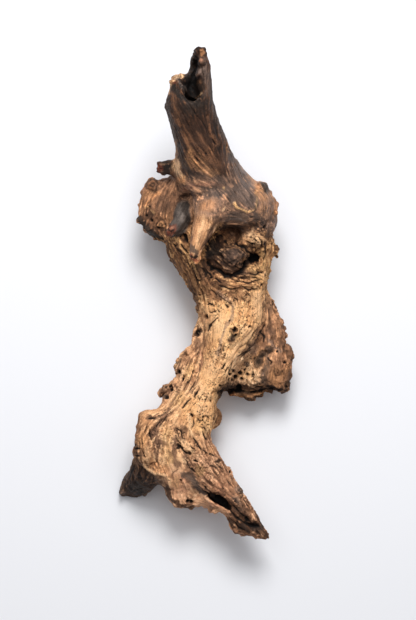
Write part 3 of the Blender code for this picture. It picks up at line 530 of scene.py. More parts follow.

# Colours, each laid over those before it: a streak's line, width, tone and strength, or a wash's x, y, half
# sizes, tone, strength and turn. The last word is the limb they keep to. Some marks are painted shade,
# shadows and highlights, as said where they stand.
COLOURS: tuple[Wash | Streak, ...] = tuple(colour_mark(row) for row in (
    # trunk
    ((-17, 124, -11, 111), 3.6, TAN, 0.7), ((-13, 112, -6, 101, 4, 95), 4.5, TAN, 0.75),
    ((-6, 110, 3, 100, 10, 97), 3, TAN, 0.7), (-14, 104, 3, 6, TAN, 0.7, 35),
    (-2, 120, 6, 9, CHESTNUT, 0.3, 35), ((-18, 132, -9, 119, 0, 108), 2, CHESTNUT, 0.6),
    ((-8, 130, 0, 119, 8, 110), 1.6, CHESTNUT, 0.55), ((4, 127, 9, 119), 4, CHESTNUT),
    ((16, 120, 18, 110), 3.4, TAN, 0.7), ((20, 112, 26, 101), 2.4, ASH, 0.7),
    ((-20, 129, -15, 121), 4, CHESTNUT, 0.9), ((-24.6, 106, -23.4, 99, -18.6, 91), 6, PALE, 0.95),
    (-19.5, 90.5, 4, 4, ORANGE, 0.9), ((-25, 122, -24, 106), 3.5, TAN, 0.7),
    ((-24, 132, -20, 116, -17, 102, -11, 92), 3.4, SLATE, 0.7),
    # The two SLATE bands in this row, along the trunk's right and left edges, are partly its greyish wood,
    # partly painted sheen.
    ((2, 176, 5, 152, 11, 134, 18, 116), 4, SLATE, 0.75), ((-31, 152, -28, 136, -25, 122), 3, SLATE),
    (-12, 137, 9, 13, UMBER, 0.65, -60), (3, 113, 5, 6, CHESTNUT, 0.5, -50),
    # The SLATE band and the thin ASH streak in this row are a painted silvery highlight over the trunk's
    # greyish wood.
    ((20, 110, 26, 100, 34, 88), 6, SLATE), ((23, 108, 30, 97, 36, 90), 1.6, ASH, 0.7),
    (14, 99, 8, 5, UMBER, 0.8, -30), (6, 106, 8, 5, CHESTNUT, 0.6, -40), (-8, 150, 12, 9, CHAR, 0.85),
    ((-27, 158, -25, 145, -21, 134), 3, CHESTNUT, 0.5), (-2, 140, 10, 12, UMBER, 0.5, 30),
    ((-28, 160, -22, 142, -16, 128), 2.5, CHESTNUT, 0.6),
    # mouth of the hollow and the spike
    # The CHAR streak in this row, below the hollow's torn lip, is a painted shadow under the lip.
    (MOUTH_LIP, 2.4, MIST, 0.7), ((-26, 167, -23, 160, -15, 154, -6, 152), 4, CHAR, 0.95),
    ((-6.6, 157, -3, 160.2), 1.2, PALE, 0.95), ((-30.5, 161, -28, 169, -23, 174.5, -18, 174), 3.2, PALE, 0.9),
    (-15, 172, 3.5, 2.5, SLATE, 0.7), ((-30, 166, -26, 172, -21, 175.5), 1, TAN),
    # The BLACK wash at (-14, 166) in the hollow's mouth and the BLACK and CHAR streaks in the spike's slot
    # below are painted shade.
    (-25.5, 168.6, 2.6, 1.3, RUST, 0.7, 25), (-14, 166, 4.5, 6, BLACK, 0.95),
    ((-8.4, 187, -9.8, 180, -10.8, 172, -11.6, 160), 4.2, BLACK, 1),
    ((-10, 187, -12.6, 178, -13, 168), 2.6, CHAR, 0.9), ((-4, 190, -3, 178, -5, 165), 4, BARK, 0.6),
    (-3.4, 192.6, 1.7, 2.4, ORANGE, 0.95), (-4.2, 185.6, 1.9, 2, PINK), (-7, 176, 2.2, 3.6, SLATE, 0.75),
    # The long ASH wash at the end of this row, on the spike's right edge, is a painted highlight.
    (-3.2, 178, 2.4, 6, ASH, 0.85), (-5.5, 169, 2, 2, TAN, 0.55), (0.5, 172, 2.4, 18, ASH, 0.65, 3),
    (-4, 164, 3, 4, CHAR, 0.6),
    # burl
    ((-19, 82, -10, 86, 2, 88, 13, 86), 3.6, PINK, 0.6),
    ((-22, 69, -20, 77, -13, 79.5, -5, 78), 3.6, UMBER, 0.9), (27, 82, 8, 12, SLATE, 0.6, -25),
    (36, 91, 3, 6, TAN, 0.6, 35), (31, 83, 7, 11, ASH, 0.6, -20), (5, 81, 11, 5, SLATE, 0.6, 8),
    (18, 82, 8, 6, SLATE, 0.55), (10, 87, 8, 3, SLATE, 0.6, 30), (27, 60, 11, 4.5, SLATE, 0.75, -8),
    (38, 55, 8, 5, BARK, 0.7), (35, 74, 4, 6, ASH), (41, 60, 5, 3.6, SLATE, 0.75),
    # The ORANGE wash at (2, 70) is partly the burl's warm wood, partly a painted highlight.
    (2, 70, 7.5, 5, ORANGE, 0.65, 20), ((14, 58, 24, 60, 34, 56), 1.2, MIST, 0.4),
    (BURL_CURL, 1.7, STRAW, 0.95), ((40.5, 78, 41, 84, 38, 92), 3, TAN), (45, 80, 4.5, 8, TAN, 0.8, 25),
    (37, 72, 4, 6, SLATE, 0.6), (46, 66, 5, 6, TAN, 0.5), (15, 84, 2, 1.2, STRAW, 0.7, -40),
    (13.5, 67, 2.4, 1.2, PALE, 0.6, 50), (47, 84, 2.8, 6, CHAR, 0.9, 25), (56.4, 68, 3.2, 8, ORANGE, 0.85),
    # The broad UMBER wash at (28, 50) is painted shade under the burl's shoulder.
    (52.5, 78, 2.4, 4, TAN), (53, 62, 3, 6, UMBER, 0.4), (28, 50, 14, 6, UMBER, 0.9), (20, 52, 12, 3, SLATE),
    (14, 46, 8, 4, CHESTNUT, 0.5), (8, 56, 3, 6, BARK, 0.6, -30), (46, 47, 5, 4, UMBER, 0.6),
    # plate
    ((-48, 71, -43, 77, -38, 80), 4, ORANGE, 0.75), ((-48.5, 68.5, -45, 68.5, -41.5, 64), 1.4, STRAW, 0.7),
    (-33, 70, 5, 9, BARK, 0.55, 15), (-30, 60, 5, 5, TAN, 0.6), (-38, 57, 6, 5, CHESTNUT, 0.6),
    ((-54, 60, -49, 54, -43, 47, -35, 43), 4.4, CHAR, 0.95), (-48, 61, 5, 4, UMBER, 0.6),
    (-48, 84, 4, 4, PINK), (-36, 54.5, 3, 3, TAN, 0.5), (-46, 80, 5, 5, TAN, 0.6), (-26, 94, 5, 3, BARK, 0.6),
    # strings left of the neck
    ((-25, 46, -17, 35, -8, 21), 2.2, STRAW), (-24, 38, 3, 4, TAN, 0.6, 30),
    ((-29, 44, -24, 34, -15, 20), 3, CHESTNUT, 0.6), ((-32, 41, -30, 31, -25, 22, -21, 14), 3.4, BARK),
    ((-14, 9, -8, -8, -7, -20), 3, BARK, 0.7), (-7, 22, 3, 3, CHAR, 0.5),
    # collar
    # The CHAR and UMBER washes in this row and the next are partly painted shadow from the tusk and the
    # burl's shoulder, partly darker wood; the BLACK wash at (2, 32) is the tusk's painted shadow.
    (8, 36, 5.5, 9, CHAR, 0.9), (5, 27, 7, 6, UMBER, 0.9), (12, 41, 4, 4, UMBER, 0.9),
    (2, 32, 3.4, 8, BLACK, 0.9, -10), (12, 8, 8, 4, UMBER, 0.75, 10), (1, 20, 4, 4, UMBER),
    # The UMBER wash at (36, 38) here and, two rows down, the UMBER wash at (30, 38) and the BLACK ones at
    # (22.5, 41) and (38.5, 28) are painted shade in the collar's cavities and holes.
    (43.5, 41, 2, 2, UMBER, 0.7), (36, 38, 5, 2, UMBER, 0.6, -20), ((19, 37, 28, 34.6, 33.5, 30), 1.4, TAN),
    (37, 43.5, 8, 4.4, PALE, 0.75, -15), ((36, 46, 38.5, 51), 2.4, PALE, 0.7), (40, 41.5, 3, 2, PALE, 0.7),
    (30, 38, 5, 2, UMBER, 0.7, -15), (22.5, 41, 2, 2.4, BLACK, 0.9), (38.5, 28, 5, 2.8, BLACK, 0.95),
    (40, 20, 6, 4, STRAW, 0.7), ((44, 34, 46, 27, 45, 20), 4.4, STRAW), (52, 30, 3, 5, STRAW, 0.6),
    (32, 43, 5, 3, CHESTNUT, 0.4), ((50, 30, 50, 20, 48, 10), 3, STRAW), (52, 30, 3, 4, TAN),
    # The UMBER wash at (10, 22) is painted shade under the tusk.
    (46, 15, 3, 4, PALE, 0.6), (54, 36, 3.4, 4.5, CHESTNUT, 0.6), (10, 22, 9, 5, UMBER, 0.85, -30),
    (20, 17, 9, 3, BARK, 0.6), (4, 12, 9, 8, CHESTNUT, 0.6), (-3, 17, 5, 6, BARK, 0.5),
    (18, 6, 14, 3, TAN, 0.5), (7, -1, 11, 6, CHESTNUT, 0.7), (12, 6, 10, 3, UMBER, 0.45),
    (26, 4, 8, 2, CHESTNUT, 0.5), (24, -2, 14, 6, CHESTNUT, 0.6), (41, 12, 6, 5, STRAW, 0.6),
    (30, 9, 8, 3, TAN, 0.5),
    # neck
    (21, -36.5, 3.6, 2.6, BARK, 0.8, 20), (9, -26, 7, 10, PALE, 0.4, -15), (41, -10, 4.5, 13, PALE, 0.7),
    (33, -32, 5, 8, PALE, 0.75, 35), (7, -58, 8, 12, PALE, 0.6, -15), (21, -38.5, 4, 3, CHESTNUT, 0.6, 20),
    (-6, -76, 4, 5, PALE, 0.5), (-2, -86, 6, 10, PALE, 0.6, -15), (26, -44, 8, 6, PALE, 0.4, 40),
    ((22.4, -11, 20.6, -17.6, 17.6, -23.6, 14.4, -29.6, 12.6, -35, 10.6, -40, 9.9, -50), 2.6, ASH, 0.55),
    ((9, 1, 15, -4, 22, -10), 4, ASH, 0.45), ((20.6, -48, 33.6, -35), 3, PALE, 0.6),
    # These two CHESTNUT streaks along the groove between the neck and the lobe are painted shade in it.
    ((48, -24, 45, -32, 40, -38), 2, CHESTNUT, 0.6), ((38, -41, 30, -49, 24, -54), 2.4, CHESTNUT, 0.6),
    ((-5, -62, -9, -72, -14, -80), 2, BARK, 0.55), ((-9, -60, -13, -70, -18, -78), 2.4, CHESTNUT, 0.65),
    ((-10, -80, -7, -77), 2.6, UMBER, 0.6), ((-16, -84, -22, -94, -20, -102), 3, TAN, 0.6),
    ((14, -52, 12, -68), 2.4, TAN, 0.5),
    # ridge
    ((-3.6, -46, -5, -56, -8, -64), 2.6, PINK, 0.55), (-13, -62, 3, 8, STRAW, 0.7, -20),
    (-17, -53, 4, 4.5, CHESTNUT, 0.5), (-7, -42, 3, 7, BARK, 0.65), (-6, -31, 2.6, 4, CHAR, 0.7),
    (-22.5, -63, 4, 4, BARK, 0.75), (-31, -77, 4.5, 5, BARK, 0.6), (-22.5, -85, 5, 8, STRAW, 0.65, -30),
    (-33, -83, 3, 2, CHAR), ((-26, -70, -22, -80, -28, -90), 2, BARK, 0.5),
    # lobe
    (51, -9, 4.5, 8, BARK, 0.6), (52, -30, 3.4, 8, BARK, 0.6, 10), (58, -30, 3.4, 8, TAN, 0.35, 10),
    (45, -39, 4, 4, CHESTNUT, 0.5), (38, -45, 4.5, 6, ASH, 0.5, -35), (33, -53, 3.5, 5, CHESTNUT, 0.6),
    ((48, -50, 48.5, -60, 46, -71), 5, SLATE, 0.7), ((50, -38, 55, -43, 60, -47), 3.4, ASH, 0.6),
    (62, -61, 5, 8, CHESTNUT, 0.4), (65, -60, 2.6, 5, TAN, 0.6), (56, -66, 7, 9, TAN, 0.9),
    (36.5, -60, 6.5, 10, PALE, 0.95), (31, -66, 7, 5, STRAW, 0.5), (28, -57, 4, 4, TAN, 0.5),
    (25, -63, 4, 3, CHESTNUT, 0.4), (43.5, -52, 6, 8, TAN, 0.65),
    ((42, -46.4, 39, -51, 38.4, -57, 40.6, -60.6), 1.6, TAN, 0.9), (56, -73, 8, 3, TAN, 0.5),
    # The UMBER and BLACK streaks along the lobe's lower edge are painted shade under its overhang.
    ((18, -77, 26, -74, 36, -76, 46, -78), 3.6, UMBER, 0.85),
    ((20, -83, 30, -83, 42, -81.5, 50, -79), 1.8, TAN, 0.85), ((50, -77, 56, -78, 63, -77), 3.6, BLACK, 0.85),
    (48, -73, 6, 3, BARK, 0.6),
    # foot
    ((-30, -94.5, -35, -100, -40.5, -107, -42.4, -114), 5, DRAB, 0.85),
    ((-42, -112, -39, -119, -38.6, -124, -40, -130), 6.2, DRAB, 0.9),
    ((-38, -119, -33, -121), 4.4, DRAB, 0.9),
    ((-25.6, -117.6, -24.8, -123, -26.4, -129, -25.6, -134, -22.4, -137), 5, DRAB, 0.9),
    (-44.5, -98.6, 1.6, 2, CHAR), (-39, -99, 4.5, 2.8, DRAB, 0.6, -10),
    ((-24, -108, -22, -115, -18, -118), 2.4, DRAB, 0.7),
    ((-17.6, -128.5, -16.8, -133.6, -14, -138), 4, DRAB, 0.9),
    ((-12, -141, -9, -148, -4, -154), 2.4, SLATE, 0.7), (9, -156, 5, 4, TAN, 0.6, -45),
    (-5, -142, 4, 5, STRAW, 0.6), (10, -156, 6, 4, PINK, 0.6, -45), (-18, -109, 5, 3.5, BARK, 0.6),
    ((-19.5, -119.5, -15, -123, -11.5, -127), 4.6, PALE, 0.85),
    ((-13.4, -97, -13, -106, -10.5, -113), 2.6, PALE, 0.9), (-0.5, -108, 2, 4, BARK, 0.6),
    (-30, -131, 4, 8, STRAW, 0.6, 10), (-3, -95, 6, 3, PALE, 0.6), ((-22, -92, -25, -104), 4, PALE, 0.5),
    (-31, -114, 4, 8, STRAW, 0.65), (-47, -104, 6, 7, TAN, 0.6), (-35, -130, 4, 6, PALE, 0.5, 20),
    (-44, -100, 5, 2.5, BARK, 0.7), ((-55, -101, -56, -112), 6, CHESTNUT, 0.9),
    (-51, -118, 3.4, 6, STRAW, 0.5), ((-56.5, -112, -57, -129), 3, CHESTNUT, 0.6),
    (-56, -122, 3, 3, CHAR, 0.6), (-54, -129, 5, 3.4, BARK, 0.7), (-38, -140, 10, 4.5, ORANGE, 0.55, -35),
    # The PALE streak along FAN_FOLD is a painted highlight on the fan's lower edge.
    (-50, -118, 4, 9, ORANGE, 0.4), (FAN_FOLD, 2.2, PALE, 0.9), (-21, -154, 7, 8, PINK, 0.6),
    # The UMBER streak and wash in this row, on the belly's lower edge, are painted shade on its underside.
    ((-31, -156, -29, -163, -22, -169.5, -11, -171.5), 4, UMBER, 0.85), (-13, -166, 4, 2.6, UMBER, 0.7),
    (-24, -152, 4, 6, STRAW, 0.45),
    ((-18, -145.4, -13, -147, -9, -152, -5, -156, 1, -160.6), 5.4, SLATE, 0.85),
    (-12, -161, 4, 4, CHESTNUT, 0.55), (25, -155, 5, 7, CHESTNUT, 0.5, 40), (40, -183, 5, 5, UMBER, 0.7, 40),
    ((21, -170, 28, -176, 36, -183, 43, -188), 8, UMBER, 0.75), (33, -183, 3, 1.6, BLACK, 0.9, -20),
    ((3, -162.6, 8, -164, 14, -167.4, 18.2, -171.6), 4.4, BLACK, 0.95), ((-6, -154, 3, -161), 5, SLATE, 0.85),
    (23.5, -166.5, 3.6, 2.2, SLATE, 0.8, -50), (29, -158, 2.4, 5, CHAR, 0.75, 30),
    (39, -172, 2.4, 8, CHAR, 0.7, 35), ((43, -189, 49, -194.5), 5.4, UMBER, 0.85),
    (23, -181, 7, 6, UMBER, 0.75, -30), (33, -187.6, 10, 5.5, UMBER, 0.9, -20),
    (33, -178, 6, 7, UMBER, 0.5, 40), (41, -188, 6, 5, CHAR, 0.7, -40), (30, -188, 6, 3, CHAR, 0.6, -20),
    (28, -172, 5, 5, BARK, 0.6), ((25, -190, 33, -192), 2.4, CHESTNUT, 0.7),
    (25, -165, 4, 2.6, SLATE, 0.5, -40), (26, -157, 3, 2.6, ASH, 0.6), (9, -134, 3, 1.6, UMBER, 0.7, 20),
    (4, -126, 5, 5, TAN, 0.6), (36, -172, 3, 6, CHESTNUT, 0.5, 25), (-3, -107, 6, 6, STRAW, 0.5),
    (10, -100, 4, 10, CHESTNUT, 0.85), (6, -172.5, 3, 2.5, CHESTNUT, 0.7), (8, -169, 6, 1.8, PINK, 0.6, -20),
    # leg
    ((-58, -141, -56, -150, -48, -155, -38, -151), 1.6, CHESTNUT, 0.6),
    ((-54, -139, -51, -147, -45, -151, -38, -148), 1.4, CHESTNUT, 0.55),
    ((-61, -142, -61, -151, -53, -158, -44, -158), 1.4, BARK, 0.7), (-50, -143, 7, 3, UMBER, 0.6, -35),
    (-66.5, -160.5, 3, 2.6, ASH), (-55, -154, 8, 5, CHAR, 0.7), (-60, -147, 4, 6, BARK, 0.6, -25),
    (-44, -154, 4, 3, UMBER),
    # limbs that stand clear
    # The PALE streak along the tusk's middle is a painted highlight; the BARK streak on its right flank, two
    # rows down, is partly painted shade, partly darker wood.
    ((0, 62, -4, 50, -6.5, 40), 4.2, PALE, 0.55, TUSK),
    ((-11.5, 62, -13, 48, -13.5, 34), 2.4, BARK, 0.75, TUSK),
    ((10, 62, 5, 52, 1, 43, -2, 34), 3.4, BARK, 0.8, TUSK), ((-11, 36, -8, 32), 4, SLATE, 0.8, TUSK),
    ((-13, 30, -9, 27, -6, 24), 4.2, RUST, 0.85, TUSK),
    ((-12, 30.4, -8, 29, -6.4, 30), 1.6, BLACK, 0.9, TUSK),
    ((-9, 25, -6, 24, -4, 27, -3.4, 32), 1.8, ORANGE, 0.8, TUSK),
    ((8, 58, 3, 48, -1, 38), 0.9, UMBER, 0.8, TUSK), (-3, 44, 2, 4, CHESTNUT, 0.5, -20, TUSK),
    (-28.6, 49.6, 4.2, 6, RUST, 0.9, -35, STUB), ((-31, 53, -28, 50, -26, 51), 1.2, BLACK, 0.9, STUB),
    # On the stub, the MIST wash is a painted highlight along its middle, and the CHAR washes and streak at
    # its upper end and right side are painted shade and shadow from the arch above.
    (-27.4, 52.6, 1.4, 1, PINK, 0.8, 30, STUB), (-20, 61, 2.4, 6, MIST, 0.45, 28, STUB),
    (-14, 63, 3, 6, CHAR, 0.7, 20, STUB), (-16, 70, 5, 4, CHAR, 0.85, 0, STUB),
    ((-14.5, 66, -17, 57, -22, 50), 2.6, CHAR, 0.75, STUB), (-30, 98, 8, 5, CHAR, 0.9, 0, LEFT_STUB),
    (-38, 100, 4, 4.5, RUST, 0.85, 0, LEFT_STUB),
))


# ---- Numbers over many points at once ----


def smooth_step(value: np.ndarray, low: float, high: float) -> np.ndarray:
    """Rises from 0 at low to 1 at high, softly.

    Args:
        value: the numbers to map.
        low: where the rise starts.
        high: where it ends, which may be under low for a fall.

    Returns:
        Numbers from 0 to 1.
    """
    t = np.clip((value - low) / (high - low), 0, 1)
    return t * t * (3 - 2 * t)


def unit(vectors: np.ndarray, least: float = 0.0) -> np.ndarray:
    """Brings directions to a length of 1.

    Args:
        vectors: one direction to a row.
        least: what is added to each length, where some may be 0.

    Returns:
        The directions.
    """
    return vectors / (np.linalg.norm(vectors, axis=1, keepdims=True) + least)


def blend(colour: np.ndarray, tone: np.ndarray, share: np.ndarray) -> np.ndarray:
    """Mixes a tone into colours.

    Args:
        colour: a colour for each point.
        tone: the tone, or one for each point.
        share: how much of it each point takes, from 0 to 1.

    Returns:
        The colours.
    """
    return colour + (tone - colour) * share[:, None]


def to_linear(colour: np.ndarray) -> np.ndarray:
    """Turns sRGB colours into linear ones, by the sRGB standard's curve."""
    return np.where(colour <= 0.04045, colour / 12.92, ((np.clip(colour, 0, 1) + 0.055) / 1.055) ** 2.4)


def put_in_scene(name: str, data: bpy.types.ID) -> bpy.types.Object:
    """Makes an object and links it to the scene.

    Args:
        name: the object's name.
        data: its mesh, light or camera.

    Returns:
        The object.
    """
    made = bpy.data.objects.new(name, data)
    bpy.context.scene.collection.objects.link(made)
    return made


def path_distance(points: np.ndarray, path: np.ndarray) -> tuple[np.ndarray, np.ndarray]:
    """How far each point is from a line of straight pieces.

    Args:
        points: one point to a row, flat or in space.
        path: the line's corners, one to a row.

    Returns:
        The distance, and how far along the line the nearest place is, from 0 to 1.
    """
    best = np.full(len(points), np.inf)
    along = np.zeros(len(points))
    lengths = np.linalg.norm(np.diff(path, axis=0), axis=1)
    before = np.concatenate(((0,), np.cumsum(lengths)))
    for start, end, length, done in zip(path, path[1:], lengths, before):
        run = (end - start) / length
        t = np.clip((points - start) @ run, 0, length)
        distance = np.linalg.norm(points - start - t[:, None] * run, axis=1)
        nearer = distance < best
        best[nearer] = distance[nearer]
        along[nearer] = (done + t[nearer]) / before[-1]
    return best, along


def oval_distance(points: np.ndarray, mark: Wash | Knot) -> np.ndarray:
    """How far each point is from an oval's middle.

    Args:
        points: places on the drawing.
        mark: the oval.

    Returns:
        The distance, which is 1 on the oval's edge.
    """
    turn = math.radians(mark.turn)
    dx, dy = points[:, 0] - mark.x, points[:, 1] - mark.y
    across = (dx * math.cos(turn) + dy * math.sin(turn)) / mark.half_x
    up = (dy * math.cos(turn) - dx * math.sin(turn)) / mark.half_y
    return np.hypot(across, up)


def on_drawing(points: np.ndarray) -> np.ndarray:
    """Where points are on the drawing, which was seen from the eye over the root.

    Args:
        points: one point to a row, in the frame's mm.

    Returns:
        Their x and y on the drawing, in mm.
    """
    flat = points[:, :2] - DRAWING_ZERO
    scale = (EYE_HEIGHT - DRAWING_LEVEL) / (EYE_HEIGHT - points[:, 2:])
    return (flat - EYE) * scale + EYE


def from_drawing(x: float, y: float, level: float) -> np.ndarray:
    """The place in the frame that shows at one place of the drawing.

    Args:
        x: the place on the drawing, in mm.
        y: the same, along the root.
        level: how high the place is over the ground, in mm.

    Returns:
        The place, in the frame's mm.
    """
    scale = (EYE_HEIGHT - level) / (EYE_HEIGHT - DRAWING_LEVEL)
    flat = (np.array((x, y)) - EYE) * scale + EYE + DRAWING_ZERO
    return np.array((*flat, level))


class Noise:
    """Gradient noise in space, the same on each run for the same seed."""

    def __init__(self, seed: int) -> None:
        """Shuffles the lattice's table for this seed."""
        shuffle = np.random.default_rng(seed)
        self.table = shuffle.permutation(256)
        self.slopes = unit(shuffle.normal(size=(256, 3)))

    def at(self, points: np.ndarray, cell: float) -> np.ndarray:
        """The noise at each point.

        Args:
            points: one point to a row, in mm.
            cell: the size of a bump, in mm.

        Returns:
            Numbers around 0, mostly between -1 and 1.
        """
        scaled = points / cell
        corner = np.floor(scaled).astype(np.int64)
        part = scaled - corner
        fade = part ** 3 * (part * (part * 6 - 15) + 10)
        total = np.zeros(len(points))
        for step in product((0, 1), repeat=3):
            key = self.table[(corner[:, 0] + step[0]) & 255]
            key = self.table[(key + corner[:, 1] + step[1]) & 255]
            key = self.table[(key + corner[:, 2] + step[2]) & 255]
            weight = np.prod(np.where(step, fade, 1 - fade), axis=1)
            total += weight * np.einsum("ij,ij->i", self.slopes[key], part - step)
        return total * 1.7

    def layers(self, points: np.ndarray, *layers: tuple[float, float]) -> np.ndarray:
        """Several sizes of the noise, added up.

        Args:
            points: one point to a row, in mm.
            layers: each layer's weight and the size of its bumps, in mm.

        Returns:
            Numbers around 0.
        """
        return sum(weight * self.at(points, cell) for weight, cell in layers)

    def fibres(self, points: np.ndarray, along: np.ndarray, cell: float, length: float) -> np.ndarray:
        """Noise drawn out along the grain into fibres.

        Args:
            points: one point to a row, in mm.
            along: the grain's direction at each point.
            cell: a fibre's width, in mm.
            length: a fibre's length, in mm.

        Returns:
            Numbers around 0 that spread as a normal curve's do.
        """
        taps = max(3, round(1.3 * length / cell))
        offsets = np.linspace(-length / 2, length / 2, taps)
        total = sum(self.at(points + along * offset, cell) for offset in offsets)
        return total / total.std()


# ---- The skin ----


@dataclass
class FineMesh:
    """The skin's mesh, made afresh from the CAD solid at a fine and even size."""

    voxel: float = 0.90       # mm
    softening: int = 4        # rounds that smooth the remade faces
    under_share: float = 0.12  # share of the faces that are kept where the skin faces down
    merge: float = 0.02       # mm, points closer than this become one
    sideways: float = 0.75    # how far up a point may face and still lie on the root's outline
    node: str = NODE
    seed: int = 5

    def build(self) -> bpy.types.Object:
        """Copies the solid, merges it, adds the ragged edges and remakes it in small even faces.

        Returns:
            A new object at the origin, in the frame's metres.
        """
        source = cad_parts[self.node]
        bm = bmesh.new()
        bm.from_mesh(source.data)
        bmesh.ops.remove_doubles(bm, verts=bm.verts, dist=self.merge * MM)
        bm.normal_update()
        self._add_knobs(bm)
        mesh = bpy.data.meshes.new("weathered_root")
        bm.to_mesh(mesh)
        bm.free()
        skin = put_in_scene("weathered_root", mesh)
        finer = skin.modifiers.new("finer", "SUBSURF")
        finer.levels = 2
        finer.render_levels = 2
        remesh = skin.modifiers.new("even", "REMESH")
        remesh.mode = "VOXEL"
        remesh.voxel_size = self.voxel * MM
        soft = skin.modifiers.new("soft", "SMOOTH")
        soft.factor = 0.5
        soft.iterations = self.softening
        self.plain(skin)
        return self._thin_underside(skin)

    def _add_knobs(self, bm: bmesh.types.BMesh) -> None:
        """Adds the knobs of the fringes and the single burrs to the solid.

        Args:
            bm: the solid, which the knobs are put into.
        """
        points = np.array([vert.co[:] for vert in bm.verts]) / MM
        normals = np.array([vert.normal[:] for vert in bm.verts])
        side = np.abs(normals[:, 2]) < self.sideways
        points, normals = points[side], normals[side]
        drawn = on_drawing(points)
        chance = np.random.default_rng(self.seed)
        for fringe in FRINGES:
            line = np.array(fringe.path, float)
            lengths = np.concatenate(((0,), np.cumsum(np.linalg.norm(np.diff(line, axis=0), axis=1))))
            for place in np.arange(0.3 * fringe.every, lengths[-1], fringe.every):
                place += fringe.every * chance.uniform(-0.3, 0.3)
                spot = [np.interp(place, lengths, line[:, axis]) for axis in (0, 1)]
                size = fringe.size * chance.uniform(0.75, 1.55)
                nearest = np.argmin(((drawn - spot) ** 2).sum(1))
                outward = normals[nearest] * (1, 1, 0.3)
                centre = points[nearest] + outward * size * (fringe.out - 0.85 + chance.uniform(-0.2, 0.3))
                stretch = chance.uniform((0.8, 0.8, 0.8), (1.5, 1.5, 1.9))
                self._knob(bm, centre, size * stretch, chance.uniform(0, math.pi))
        for burr in BURRS:
            nearest = np.argmin(((drawn - (burr.x, burr.y)) ** 2).sum(1))
            centre = from_drawing(burr.x, burr.y, burr.level or points[nearest, 2])
            stretch = np.array((burr.length, 1.0, 1.2))
            self._knob(bm, centre, burr.size * stretch, math.radians(burr.points_to))

    @staticmethod
    def _knob(bm: bmesh.types.BMesh, centre: np.ndarray, halves: np.ndarray, turn: float) -> None:
        """Adds one knob.

        Args:
            bm: the solid.
            centre: the knob's middle, in mm.
            halves: its half sizes, in mm.
            turn: its turn about the vertical, in radians.
        """
        centre = (centre[0], centre[1], max(centre[2], halves[2] + 0.3))
        place = Matrix.Translation(Vector(centre) * MM) @ Matrix.Rotation(turn, 4, "Z")
        size = Matrix.Diagonal((*(1.12 * halves * MM), 1.0))
        bmesh.ops.create_icosphere(bm, subdivisions=2, radius=1.0, matrix=place @ size)

    def _thin_underside(self, skin: bpy.types.Object) -> bpy.types.Object:
        """Joins faces where the skin faces down, and leaves its upper side as fine as it is.

        Args:
            skin: the remade skin.

        Returns:
            The same object.
        """
        mesh = skin.data
        normals = SkinPoints.read(mesh.vertices, "normal", 3)
        low = smooth_step(normals[:, 2], 0.02, -0.25)
        group = skin.vertex_groups.new(name="under")
        for level in (0.5, 1.0):
            chosen = np.nonzero(low >= level)[0]
            group.add(chosen.tolist(), level, "REPLACE")
        share = float((low >= 0.5).mean())
        thin = skin.modifiers.new("thin", "DECIMATE")
        thin.ratio = 1 - share * (1 - self.under_share)
        thin.vertex_group = group.name
        thin.vertex_group_factor = 1.0
        self.plain(skin)
        skin.vertex_groups.clear()
        return skin

    @staticmethod
    def plain(skin: bpy.types.Object) -> bpy.types.Object:
        """Turns a modified object into a plain mesh.

        Args:
            skin: the object.

        Returns:
            The same object, with its modifiers worked into its mesh.
        """
        bpy.context.view_layer.update()
        seen = skin.evaluated_get(bpy.context.evaluated_depsgraph_get())
        mesh = bpy.data.meshes.new_from_object(seen)
        old = skin.data
        skin.modifiers.clear()
        skin.data = mesh
        bpy.data.meshes.remove(old)
        mesh.name = "weathered_root"
        return skin


